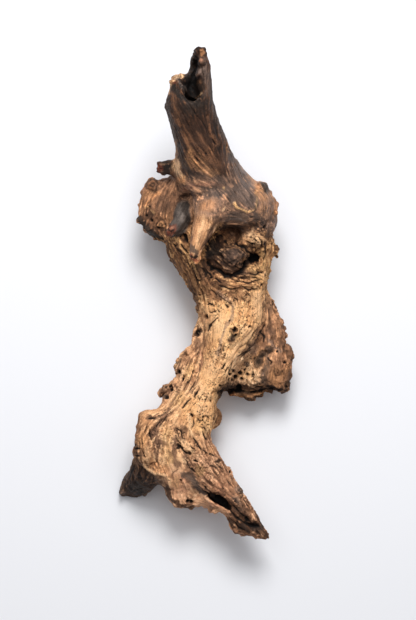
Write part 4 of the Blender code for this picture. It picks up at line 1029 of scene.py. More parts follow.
class SkinPoints:
    """The skin's points as arrays, in mm, with what is known at each of them."""

    def __init__(self, skin: bpy.types.Object) -> None:
        """Reads the mesh."""
        self.skin = skin
        mesh = skin.data
        self.points = self.read(mesh.vertices, "co", 3) / MM
        edges = np.empty(len(mesh.edges) * 2, np.int32)
        mesh.edges.foreach_get("vertices", edges)
        self.edges = edges.reshape(-1, 2)
        self.links = np.bincount(self.edges.ravel(), minlength=len(self.points)).astype(float)
        self.refresh()

    @staticmethod
    def read(items: bpy.types.bpy_prop_collection, name: str, width: int) -> np.ndarray:
        """Reads one property of every item into an array.

        Args:
            items: the mesh's points or faces.
            name: the property's name.
            width: how many numbers it has.

        Returns:
            One item to a row.
        """
        values = np.empty(len(items) * width, np.float32)
        items.foreach_get(name, values)
        return values.reshape(-1, width).astype(float)

    def refresh(self) -> None:
        """Works out the normals, and each point's place on the drawing."""
        mesh = self.skin.data
        mesh.vertices.foreach_set("co", (self.points * MM).astype(np.float32).ravel())
        mesh.update()
        self.normals = self.read(mesh.vertices, "normal", 3)
        self.drawn = on_drawing(self.points)

    def move_outline(self, reach: float = 6.5, hold: float = 0.30) -> None:
        """Lets the outline out and takes it in where the drawing says.

        Args:
            reach: how far a move is felt, in mm.
            hold: how strongly every point holds its own place, next to a move's pull of 1.
        """
        moves = np.array(OUTLINE_MOVES, float)
        total = np.zeros_like(self.drawn)
        weights = np.full(len(self.drawn), hold)
        for x, y, *move in moves:
            weight = np.exp(-(((self.drawn - (x, y)) ** 2).sum(1)) / reach ** 2)
            total += weight[:, None] * move
            weights += weight
        self.points[:, :2] += total / weights[:, None]
        self.refresh()

    def blur(self, values: np.ndarray, rounds: int) -> np.ndarray:
        """Averages values with their neighbours', over and over.

        Args:
            values: a number or a row of numbers for each point.
            rounds: how many times.

        Returns:
            The smoothed values.
        """
        first, second = self.edges[:, 0], self.edges[:, 1]
        flat = values.reshape(len(values), -1)
        for _ in range(rounds):
            total = np.stack([
                np.bincount(first, column[second], len(flat)) + np.bincount(second, column[first], len(flat))
                for column in flat.T
            ], axis=1)
            flat = 0.5 * flat + 0.5 * total / self.links[:, None]
        return flat.reshape(values.shape)

    def push(self, heights: np.ndarray) -> None:
        """Moves each point out along the soft normal.

        Args:
            heights: how far each point goes, in mm.
        """
        self.points = self.points + unit(self.blur(self.normals, 3)) * heights[:, None]
        self.refresh()

    def store(self, name: str, values: np.ndarray) -> None:
        """Writes values to the mesh as an attribute that the materials read.

        Args:
            name: the attribute's name.
            values: one number, three or four for each point: a number, a direction or a colour.
        """
        kinds = {1: ("FLOAT", "value"), 3: ("FLOAT_VECTOR", "vector"), 4: ("FLOAT_COLOR", "color")}
        width = 1 if values.ndim == 1 else values.shape[1]
        kind, field_name = kinds[width]
        attribute = self.skin.data.attributes.new(name, kind, "POINT")
        attribute.data.foreach_set(field_name, values.astype(np.float32).ravel())


class Anatomy:
    """What every point of the skin belongs to: its limb, its kind of wood, and its grain's direction."""

    RAGGED = ((1.3, 7.0), (0.7, 2.6))  # mm by which a mark's edge strays, and mm from bump to bump
    STROKE_REACH = 7.0   # mm over which a stroke turns the grain
    KNOT_REACH = 1.6     # how far a knot turns the grain, next to its half size
    GRAIN_SWAY = 0.22    # radians by which the grain sways
    SWAY_CELL = 16.0     # mm between one sway and the next

    def __init__(self, skin: SkinPoints) -> None:
        """Works everything out once, on the smooth skin."""
        self.skin = skin
        self.wobble = Noise(11)
        self.limbs = self._limbs()
        self.shift = self._shift()
        self.warped = skin.drawn + self.shift
        self.regions = self._regions()
        self.grain = self._grain()
        self.top = smooth_step(skin.normals[:, 2], -0.45, 0.0)
        self.body_top = self.top * self.limbs[BODY]

    def _limbs(self) -> dict[Limb, np.ndarray]:
        """How much each point belongs to each limb, from 0 to 1."""
        spots = self.skin.points.copy()
        spots[:, :2] -= DRAWING_ZERO
        shares = {}
        for limb in (TUSK, STUB, LEFT_STUB):
            distance, along = path_distance(spots, limb.line)
            near = smooth_step(distance, limb.reach, 0.82 * limb.reach)
            shares[limb] = near * smooth_step(along, 0, limb.fade)
        shares[BODY] = np.clip(1 - sum(shares.values()), 0, 1)
        return shares

    def _shift(self) -> np.ndarray:
        """Small shifts of the drawing's places, so that every mark's edge is ragged."""
        points = self.skin.points
        return np.stack([self.wobble.layers(points + offset, *self.RAGGED) for offset in (0.0, 50.0)], axis=1)

    def _regions(self) -> dict[Region, np.ndarray]:
        """The share of each kind of wood at each point; the shares add up to 1."""
        shares = {}
        for region, places in REGION_PLACES.items():
            spots = np.array(places, float).reshape(-1, 2)
            nearest = np.min([((self.warped - spot) ** 2).sum(1) for spot in spots], axis=0)
            shares[region] = np.exp(-nearest / (2 * REGION_REACH ** 2)) ** 2
        body = self.limbs[BODY]
        total = sum(shares.values()) + NO_SHARE
        shares = {region: body * share / total for region, share in shares.items()}
        shares[Region.TUSK] = self.limbs[TUSK]
        shares[Region.STUB] = self.limbs[STUB]
        shares[Region.LEG] = shares[Region.LEG] + self.limbs[LEFT_STUB]
        total = sum(shares.values()) + NO_SHARE
        return {region: share / total for region, share in shares.items()}

    def _grain(self) -> np.ndarray:
        """The grain's direction at each point, along the skin."""
        drawn = self.skin.drawn
        flat = np.zeros_like(drawn)
        for start, end in np.array(GRAIN_STROKES, float).reshape(-1, 2, 2):
            distance, _ = path_distance(drawn, np.array((start, end)))
            run = (end - start) / np.linalg.norm(end - start)
            flat += (np.exp(-(distance / self.STROKE_REACH) ** 2) + 1e-5)[:, None] * run
        for knot in KNOTS:
            away = drawn - (knot.x, knot.y)
            reach = self.KNOT_REACH * max(knot.half_x, knot.half_y)
            round_it = unit(np.stack((-away[:, 1], away[:, 0]), axis=1), TINY)
            round_it *= np.sign(np.einsum("ij,ij->i", round_it, flat))[:, None]
            pull = np.exp(-((away ** 2).sum(1)) / reach ** 2)[:, None]
            flat = flat * (1 - pull) + round_it * pull * (np.linalg.norm(flat, axis=1, keepdims=True) + TINY)
        angle = self.GRAIN_SWAY * self.wobble.at(self.skin.points, self.SWAY_CELL)
        turned = unit(np.stack((
            flat[:, 0] * np.cos(angle) - flat[:, 1] * np.sin(angle),
            flat[:, 0] * np.sin(angle) + flat[:, 1] * np.cos(angle),
            np.zeros(len(flat)),
        ), axis=1), TINY)
        for limb in (TUSK, STUB, LEFT_STUB):
            run = limb.line[-1] - limb.line[0]
            share = self.limbs[limb][:, None]
            turned = turned * (1 - share) + share * run / np.linalg.norm(run)
        normals = unit(self.skin.blur(self.skin.normals, 4))
        along = turned - np.einsum("ij,ij->i", turned, normals)[:, None] * normals
        return unit(self.skin.blur(along, 6), TINY)

    def of_finish(self, name: str) -> np.ndarray:
        """One number of the finishes, mixed by the shares of the kinds of wood.

        Args:
            name: the number's name in WoodFinish.

        Returns:
            The number at each point.
        """
        return sum(share * getattr(region.value, name) for region, share in self.regions.items())


@dataclass
class Relief:
    """Carves the skin: lumps, fibres, cracks, holes and knots."""

    LUMPS = ((1.0, 13.0), (0.6, 6.0))  # weight and size, in mm, of the broad lumps
    CRACK_HALF = 0.62    # a crack's reach, next to its width
    FINEST_CRACK = 0.75  # mm, the smallest reach that the mesh can carry
    CHECK_DEPTH = 0.9    # mm
    RINGS = 9.0          # how close a knot's rings are

    anatomy: Anatomy
    noise: Noise = field(default_factory=lambda: Noise(23))
    fine: Noise = field(default_factory=lambda: Noise(37))

    def carve(self) -> None:
        """Carves the broad forms first and the fine ones on top of them."""
        skin = self.anatomy.skin
        skin.push(self._forms())
        self.streaks = self.noise.fibres(skin.points, self.anatomy.grain, 3.0, 42.0)
        self.threads = self.fine.fibres(skin.points, self.anatomy.grain, 1.5, 15.0)
        self.calm = 0.75 + 0.60 * np.clip(self.noise.at(skin.points + 40.0, 13.0), -0.75, 0.75)
        self.open = np.zeros(len(skin.points))
        before = skin.points.copy()
        heights = self._fibre_heights() + self._knot_heights() + self._check_heights()
        heights += self._crack_heights() + self._hole_heights()
        skin.push(heights)
        self._stand_on_ground(before)
        # How far each point lies below its neighbours and how far wood shuts it in; the painter turns both
        # into painted shade and painted highlights.
        self.crevice = skin.blur(heights, 14) - heights
        self.occlusion_for_shade = self._cast_occlusion_rays()

    def _cast_occlusion_rays(self, rays: int = 8, far: float = 26.0) -> np.ndarray:
        """How far the wood around each point shuts it in, from rays cast outwards; the painter darkens the
        colour by it, as painted shade.

        Args:
            rays: how many rays leave each point.
            far: how far they look, in mm.

        Returns:
            0 in the open to 1 where every ray meets wood close by.
        """
        skin = self.anatomy.skin
        polygons = [tuple(polygon.vertices) for polygon in skin.skin.data.polygons]
        tree = BVHTree.FromPolygons(skin.points.tolist(), polygons)
        starts = skin.points + 0.4 * skin.normals
        met = np.zeros(len(starts))
        spread = np.random.default_rng(5)
        for _ in range(rays):
            aims = spread.normal(size=starts.shape)
            aims = skin.normals + 0.95 * aims / np.linalg.norm(aims, axis=1, keepdims=True)
            for index, (start, aim) in enumerate(zip(starts.tolist(), aims.tolist())):
                distance = tree.ray_cast(start, aim, far)[3]
                if distance is not None:
                    met[index] += 1 - distance / far
        return skin.blur(met / rays, 4)

    def _forms(self) -> np.ndarray:
        """Lumps all over, knobbly where the wood is, and the ridges and hollows of the drawing."""
        anatomy, points = self.anatomy, self.anatomy.skin.points
        broad = self.noise.layers(points, *self.LUMPS)
        knobs = 1 - 2 * np.abs(self.fine.at(points, 7.5))
        heights = anatomy.of_finish("lumps") * (0.6 * broad + 0.55 * (knobs - 0.4))
        for ridge in FORMS:
            heights += self._along(ridge.path, ridge.width, ridge.limb) * ridge.height
        return heights

    def _fibre_heights(self) -> np.ndarray:
        """Fibres along the grain."""
        height = self.anatomy.of_finish("fibre")
        finest = self.fine.at(self.anatomy.skin.points, 2.0)
        return height * (self.calm * (0.66 * self.threads + 0.28 * self.streaks) + 0.60 * finest)

    def _check_heights(self) -> np.ndarray:
        """Small drying cracks along the grain, where the wood has them."""
        points, grain = self.anatomy.skin.points, self.anatomy.grain
        lines = self.noise.fibres(points + 90.0, grain, 2.0, 7.0)
        where = 0.5 + 0.5 * self.noise.at(points + 30.0, 11.0)
        level = 2.9 - 1.7 * self.anatomy.of_finish("checks") * (0.55 + 0.75 * where)
        self.checks = smooth_step(lines - level, -0.25, 0.5)
        return -self.CHECK_DEPTH * self.checks

    def _crack_heights(self) -> np.ndarray:
        """The drawing's cracks."""
        heights = np.zeros(len(self.open))
        for crack in CRACKS:
            reach = max(self.CRACK_HALF * crack.width, self.FINEST_CRACK)
            share = self._along(crack.path, reach, crack.limb, tapered=True)
            share *= min(1.0, self.CRACK_HALF * crack.width / reach)
            heights -= share * crack.depth
            self.open = np.maximum(self.open, np.clip(1.25 * share, 0, 1))
        return heights

    def _hole_heights(self) -> np.ndarray:
        """The drawing's holes, with their rims."""
        anatomy = self.anatomy
        face = anatomy.body_top
        ragged = 0.25 * self.fine.at(anatomy.skin.points, 2.2)
        heights = np.zeros(len(self.open))
        for hole in HOLES:
            distance = np.hypot(*(anatomy.skin.drawn - (hole.x, hole.y)).T) + ragged
            inside = smooth_step(distance, 1.25 * hole.radius, 0.55 * hole.radius) * face
            rim = np.exp(-((distance - 1.9 * hole.radius) / (0.5 * hole.radius)) ** 2) * face
            heights += rim * hole.rim - inside * hole.depth
            self.open = np.maximum(self.open, inside)
        return heights

    def _knot_heights(self) -> np.ndarray:
        """The drawing's knots, with their rings."""
        anatomy = self.anatomy
        face = anatomy.body_top
        heights = np.zeros(len(self.open))
        self.rings = np.zeros(len(self.open))
        for knot in KNOTS:
            distance = oval_distance(anatomy.warped, knot)
            boss = smooth_step(distance, 1.25, 0.4) * face
            rings = 0.5 + 0.5 * np.cos(distance * self.RINGS)
            moat = np.exp(-((distance - 1.15) / 0.22) ** 2) * face
            heights += knot.height * (boss * (0.8 + 0.35 * rings) - 0.5 * moat)
            self.rings = np.maximum(self.rings, boss * (1 - rings) + 0.7 * moat)
        return heights

    def _along(self, path: Path2, width: float, limb: Limb, tapered: bool = False) -> np.ndarray:
        """How much each point belongs to a line on the drawing, on the side that faces up.

        Args:
            path: the line's corners.
            width: the line's half width, in mm, where the share has fallen to a third.
            limb: the limb that the line is on.
            tapered: whether the line thins towards its ends.

        Returns:
            Shares from 0 to 1.
        """
        anatomy = self.anatomy
        line = np.array(path, float)
        places = anatomy.skin.drawn + 0.6 * anatomy.shift
        near = ((places > line.min(0) - 3 * width - 1) & (places < line.max(0) + 3 * width + 1)).all(1)
        share = np.zeros(len(near))
        if not near.any():
            return share
        distance, along = path_distance(places[near], line)
        reach = width
        if tapered:
            reach = width * (0.35 + 0.65 * np.sin(np.pi * np.clip(along, 0.02, 0.98)) ** 0.5)
        share[near] = np.exp(-(distance / reach) ** 2)
        return share * anatomy.top * anatomy.limbs[limb]

    def _stand_on_ground(self, before: np.ndarray) -> None:
        """Keeps the worn feet flat on the ground.

        Args:
            before: the points before the fine relief.
        """
        skin = self.anatomy.skin
        worn = smooth_step(before[:, 2], 1.6, 0.5)
        skin.points[:, 2] = np.maximum(skin.points[:, 2] * (1 - worn), 0.0)
        skin.refresh()


@dataclass
class Painter:
    """Colours the skin from its kinds of wood, its grain, its marks and its relief, with painted shade in its
    crevices, cracks and holes and where wood is all around, and painted highlights on its raised fibres.
    """

    PATCHES = ((0.7, 17.0), (0.5, 6.5), (0.4, 3.0))  # weight and size, in mm, of the patches
    CREVICE_SHADE = 0.42  # how much painted shade darkens the wood in a crevice
    OCCLUSION_SHADE = 0.62  # how much painted shade darkens it where wood is all around
    FIBRE_HIGHLIGHT = 0.21  # how much a painted highlight lightens a raised fibre
    CHECK_SHADE = 0.40   # how much a drying crack takes UMBER's tone, as painted shade inside it
    OPEN_SHADE = 0.60    # how much an open crack or a hole does, as painted shade inside it
    KNOT_TINTS = 0.62    # how much a knot takes its own tone

    anatomy: Anatomy
    relief: Relief
    noise: Noise = field(default_factory=lambda: Noise(51))

    def paint(self) -> None:
        """Works out the colours and stores every attribute that the materials read."""
        colour = self._wood()
        for mark in COLOURS:
            colour = self._lay(colour, mark)
        colour = self._knots(colour)
        colour = self._paint_shade_and_highlight(colour)
        skin = self.anatomy.skin
        linear = to_linear(colour)
        skin.store("tone", np.concatenate((linear, np.ones((len(linear), 1))), axis=1))
        skin.store("grain", self.anatomy.grain)
        skin.store("worn", self.anatomy.of_finish("roughness"))
        skin.store("streaky", np.clip(self.anatomy.of_finish("streaks") * self.relief.calm / 1.3, 0, 1))
        skin.store("pit_share", self._pit_share())
        skin.store("open", np.maximum(self.relief.open, 0.85 * self.relief.checks))

    def _wood(self) -> np.ndarray:
        """The wood's own colours, streaked along the grain and mottled."""
        points, relief = self.anatomy.skin.points, self.relief
        patches = self.noise.layers(points, *self.PATCHES)
        streaky = self.anatomy.of_finish("streaks") * relief.calm
        shade = 0.5 + streaky * (0.17 * relief.streaks + 0.18 * relief.threads)
        shade = np.clip(shade + self.anatomy.of_finish("mottle") * 0.42 * patches, 0, 1)[:, None]
        dark, middle, light = (
            sum(share[:, None] * np.array(getattr(region.value, name)) / 255
                for region, share in self.anatomy.regions.items())
            for name in ("dark", "middle", "light")
        )
        low = dark + (middle - dark) * np.clip(2 * shade, 0, 1)
        return low + (light - middle) * np.clip(2 * shade - 1, 0, 1)

    def _lay(self, colour: np.ndarray, mark: Wash | Streak) -> np.ndarray:
        """Lays one mark's tone over the colours.

        Args:
            colour: the colours so far.
            mark: the wash or the streak.

        Returns:
            The colours with the mark on them.
        """
        anatomy, relief = self.anatomy, self.relief
        ragged = 0.16 * relief.threads + 0.10 * relief.streaks
        if isinstance(mark, Wash):
            share = smooth_step(oval_distance(anatomy.warped, mark) + 1.2 * ragged, 1.25, 0.65)
        else:
            distance, _ = path_distance(anatomy.warped, np.array(mark.path, float))
            share = smooth_step(distance / (0.5 * mark.width) + 1.5 * ragged, 1.40, 0.65)
        share = share * mark.strength * anatomy.limbs[mark.limb] * (0.15 + 0.85 * anatomy.top)
        share = share * np.clip(0.94 + 0.16 * relief.threads + 0.10 * relief.streaks, 0.35, 1.0)
        shade = 1 + 0.10 * relief.threads[:, None]
        return blend(colour, mark.tone.rgb * shade, share)

    def _knots(self, colour: np.ndarray) -> np.ndarray:
        """Tints the knots and darkens their rings."""
        anatomy = self.anatomy
        for knot in KNOTS:
            share = smooth_step(oval_distance(anatomy.warped, knot), 1.12, 0.8) * anatomy.body_top
            colour = blend(colour, knot.tone.rgb, self.KNOT_TINTS * share)
        return colour * (1 - 0.5 * self.relief.rings)[:, None]

    def _paint_shade_and_highlight(self, colour: np.ndarray) -> np.ndarray:
        """Paints shade: darkens the crevices, what wood shuts in and what is open; and paints highlights that
        lighten the high fibres.
        """
        crevice_shading = smooth_step(self.relief.crevice, 0.10, 1.0)
        high = smooth_step(-self.relief.crevice, 0.05, 0.5)
        occlusion_shading = smooth_step(self.relief.occlusion_for_shade, 0.17, 0.62)
        colour = colour * (1 - self.CREVICE_SHADE * crevice_shading[:, None] * SHADE_TINT)
        colour = colour * (1 - self.OCCLUSION_SHADE * occlusion_shading[:, None] * SHADE_TINT)
        highlight_lift = np.minimum(1 + self.FIBRE_HIGHLIGHT * high, BRIGHTEST / colour.max(1))
        colour = blend(colour * highlight_lift[:, None], UMBER.rgb, self.CHECK_SHADE * self.relief.checks)
        return blend(colour, UMBER.rgb, self.OPEN_SHADE * self.relief.open)

    def _pit_share(self) -> np.ndarray:
        """Where the borers' pits are."""
        clusters = smooth_step(self.noise.at(self.anatomy.skin.points + 70.0, 14.0), -0.60, 0.30)
        share = self.anatomy.of_finish("pits") * clusters * (1 - self.relief.open)
        return share * (1 - 0.6 * smooth_step(self.anatomy.skin.normals[:, 2], 0.0, -0.5))


# ---- Nodes ----

Socket = bpy.types.NodeSocket


def node_group(name: str, kind: str, inputs: dict[str, str], outputs: dict[str, str]) -> bpy.types.NodeTree:
    """Makes an empty node group.

    Args:
        name: the group's name.
        kind: the kind of tree.
        inputs: the kind of socket for each input's name.
        outputs: the kind of socket for each output's name.

    Returns:
        The group, with its sockets.
    """
    tree = bpy.data.node_groups.new(name, kind)
    for in_out, sockets in (("INPUT", inputs), ("OUTPUT", outputs)):
        for label, socket in sockets.items():
            tree.interface.new_socket(label, in_out=in_out, socket_type=f"NodeSocket{socket}")
    return tree


class NodeDesk:
    """Adds nodes to a tree and wires them, with few words."""

    def __init__(self, tree: bpy.types.NodeTree) -> None:
        """Takes the tree to work on."""
        self.tree = tree

    def node(self, kind: str, sources: dict | None = None, **settings: object) -> bpy.types.Node:
        """Adds a node.

        Args:
            kind: the node's type.
            sources: what its inputs get, by their name or number: a socket to link, or a value.
            settings: its properties.

        Returns:
            The node.
        """
        made = self.tree.nodes.new(kind)
        for name, value in settings.items():
            setattr(made, name, value)
        for name, source in (sources or {}).items():
            self.wire(source, made.inputs[name])
        return made

    def wire(self, source: object, socket: Socket) -> None:
        """Links a socket to another, or sets it to a value.

        Args:
            source: the other socket, or the value.
            socket: the socket that takes it.
        """
        if isinstance(source, Socket):
            self.tree.links.new(source, socket)
        else:
            socket.default_value = source

    def maths(self, operation: str, *values: object) -> Socket:
        """Adds a Math node.

        Args:
            operation: what it does.
            values: its inputs, each a socket or a number.

        Returns:
            Its output.
        """
        return self.node("ShaderNodeMath", dict(enumerate(values)), operation=operation).outputs[0]

    def vector(self, operation: str, sources: dict, output: str = "Vector") -> Socket:
        """Adds a Vector Math node.

        Args:
            operation: what it does.
            sources: what its inputs get, as for node().
            output: the output to return, which is Value where the node gives a number.

        Returns:
            That output.
        """
        return self.node("ShaderNodeVectorMath", sources, operation=operation).outputs[output]

    def attribute(self, name: str, output: str = "Fac") -> Socket:
        """Adds a node that reads one of the skin's attributes into a shader."""
        return self.node("ShaderNodeAttribute", attribute_name=name).outputs[output]

    def ramp(self, value: Socket, low: float, high: float) -> Socket:
        """Adds a soft ramp from 0 at low to 1 at high."""
        sources = {"Value": value, "From Min": low, "From Max": high}
        return self.node("ShaderNodeMapRange", sources, interpolation_type="SMOOTHSTEP").outputs["Result"]

    def noise(self, place: Socket, scale: Socket, **more: float) -> Socket:
        """Adds noise in space and returns it."""
        sources = {"Vector": place, "Scale": scale, **more}
        return self.node("ShaderNodeTexNoise", sources, noise_dimensions="3D").outputs["Fac"]


@dataclass
class WormPits:
    """The many small pits that borers left, scattered over the skin and sunk into it."""

    spacing: float = 1.7      # mm between pits, at least
    density: float = 0.120    # pits to a square mm, where the wood has them all
    smallest: float = 0.60    # mm, a pit's radius
    largest: float = 1.40
    depth: float = 1.1        # mm
    stretch: float = 0.45     # how far a pit is drawn out along the grain: 0 not at all, 1 without end
    brim: float = 1.25        # radii from its middle to where a pit's slope starts
    bottom: float = 0.45      # radii to where the slope ends
    seed: int = 7

    def build_tree(self) -> bpy.types.NodeTree:
        """Builds the tree that sinks the pits.

        Returns:
            The node tree, whose inputs are the sizes, the seed and the material.
        """
        sizes = dict.fromkeys(("Spacing", "Density", "Smallest", "Largest", "Depth", "Stretch"), "Float")
        inputs = {"Geometry": "Geometry", **sizes, "Seed": "Int", "Material": "Material"}
        tree = node_group("worm_pits", "GeometryNodeTree", inputs, {"Geometry": "Geometry"})
        desk = NodeDesk(tree)
        given = desk.node("NodeGroupInput").outputs

        share = desk.node("GeometryNodeInputNamedAttribute", {"Name": "pit_share"}).outputs["Attribute"]
        scatter = desk.node("GeometryNodeDistributePointsOnFaces", {
            "Mesh": given["Geometry"], "Distance Min": given["Spacing"], "Density Max": given["Density"],
            "Density Factor": share, "Seed": given["Seed"],
        }, distribute_method="POISSON").outputs["Points"]
        radius = desk.node("FunctionNodeRandomValue", {
            "Min": given["Smallest"], "Max": given["Largest"], "Seed": given["Seed"],
        }).outputs["Value"]
        nearest = desk.node("GeometryNodeSampleNearest", {"Geometry": scatter}, domain="POINT")
        size = desk.node("GeometryNodeSampleIndex", {
            "Geometry": scatter, "Value": radius, "Index": nearest.outputs["Index"],
        }).outputs["Value"]

        near = desk.node("GeometryNodeProximity", {"Geometry": scatter}, target_element="POINTS")
        place = desk.node("GeometryNodeInputPosition").outputs["Position"]
        away = desk.vector("SUBTRACT", {0: place, 1: near.outputs["Position"]})
        grain = desk.node("GeometryNodeInputNamedAttribute", {"Name": "grain"}, data_type="FLOAT_VECTOR")
        grain = grain.outputs["Attribute"]
        along = desk.vector("DOT_PRODUCT", {0: away, 1: grain}, "Value")
        drawn = desk.maths("MULTIPLY", along, given["Stretch"])
        back = desk.vector("SCALE", {"Vector": grain, "Scale": drawn})
        flat = desk.vector("SUBTRACT", {0: away, 1: back})
        length = desk.vector("LENGTH", {0: flat}, "Value")

        inside = desk.ramp(desk.maths("DIVIDE", length, size), self.brim, self.bottom)
        sunk = desk.maths("MULTIPLY", desk.maths("MULTIPLY", inside, given["Depth"]), size)
        normal = desk.node("GeometryNodeInputNormal").outputs["Normal"]
        inward = desk.vector("SCALE", {"Vector": normal, "Scale": desk.maths("MULTIPLY", sunk, -1.0)})
        move = desk.node("GeometryNodeSetPosition", {"Geometry": given["Geometry"], "Offset": inward})
        keep = desk.node("GeometryNodeStoreNamedAttribute", {
            "Name": "pit", "Geometry": move.outputs["Geometry"], "Value": inside,
        }, domain="POINT")
        real = desk.node("GeometryNodeRealizeInstances", {"Geometry": keep.outputs["Geometry"]})
        dress = desk.node("GeometryNodeSetMaterial", {
            "Geometry": real.outputs["Geometry"], "Material": given["Material"],
        })
        desk.node("NodeGroupOutput", {"Geometry": dress.outputs["Geometry"]})
        return tree

    def sink(self, skin: bpy.types.Object, material: bpy.types.Material) -> None:
        """Sinks the pits into the skin and leaves it a plain mesh.

        Args:
            skin: the skin, with its pit_share attribute.
            material: the skin's material.
        """
        tree = self.build_tree()
        modifier = skin.modifiers.new("worm_pits", "NODES")
        modifier.node_group = tree
        values = {
            "Spacing": self.spacing * MM, "Density": self.density / MM ** 2, "Smallest": self.smallest * MM,
            "Largest": self.largest * MM, "Depth": self.depth, "Stretch": self.stretch, "Seed": self.seed,
            "Material": material,
        }
        for item in tree.interface.items_tree:
            if item.in_out == "INPUT" and item.name in values:
                modifier[item.identifier] = values[item.name]
        FineMesh.plain(skin)


# ---- Materials ----


@dataclass(frozen=True)
class SurfaceFinish:
    """A wood surface as light meets it."""

    name: str
    grain_contrast: float     # how much the finest grain shows in the colour
    bump: float               # mm, the height of the finest grain
    fibre_width: float        # mm
    line_contrast: float      # how dark the thin lines are
    brightness: float = 1.0
    roughness_shift: float = 0.0


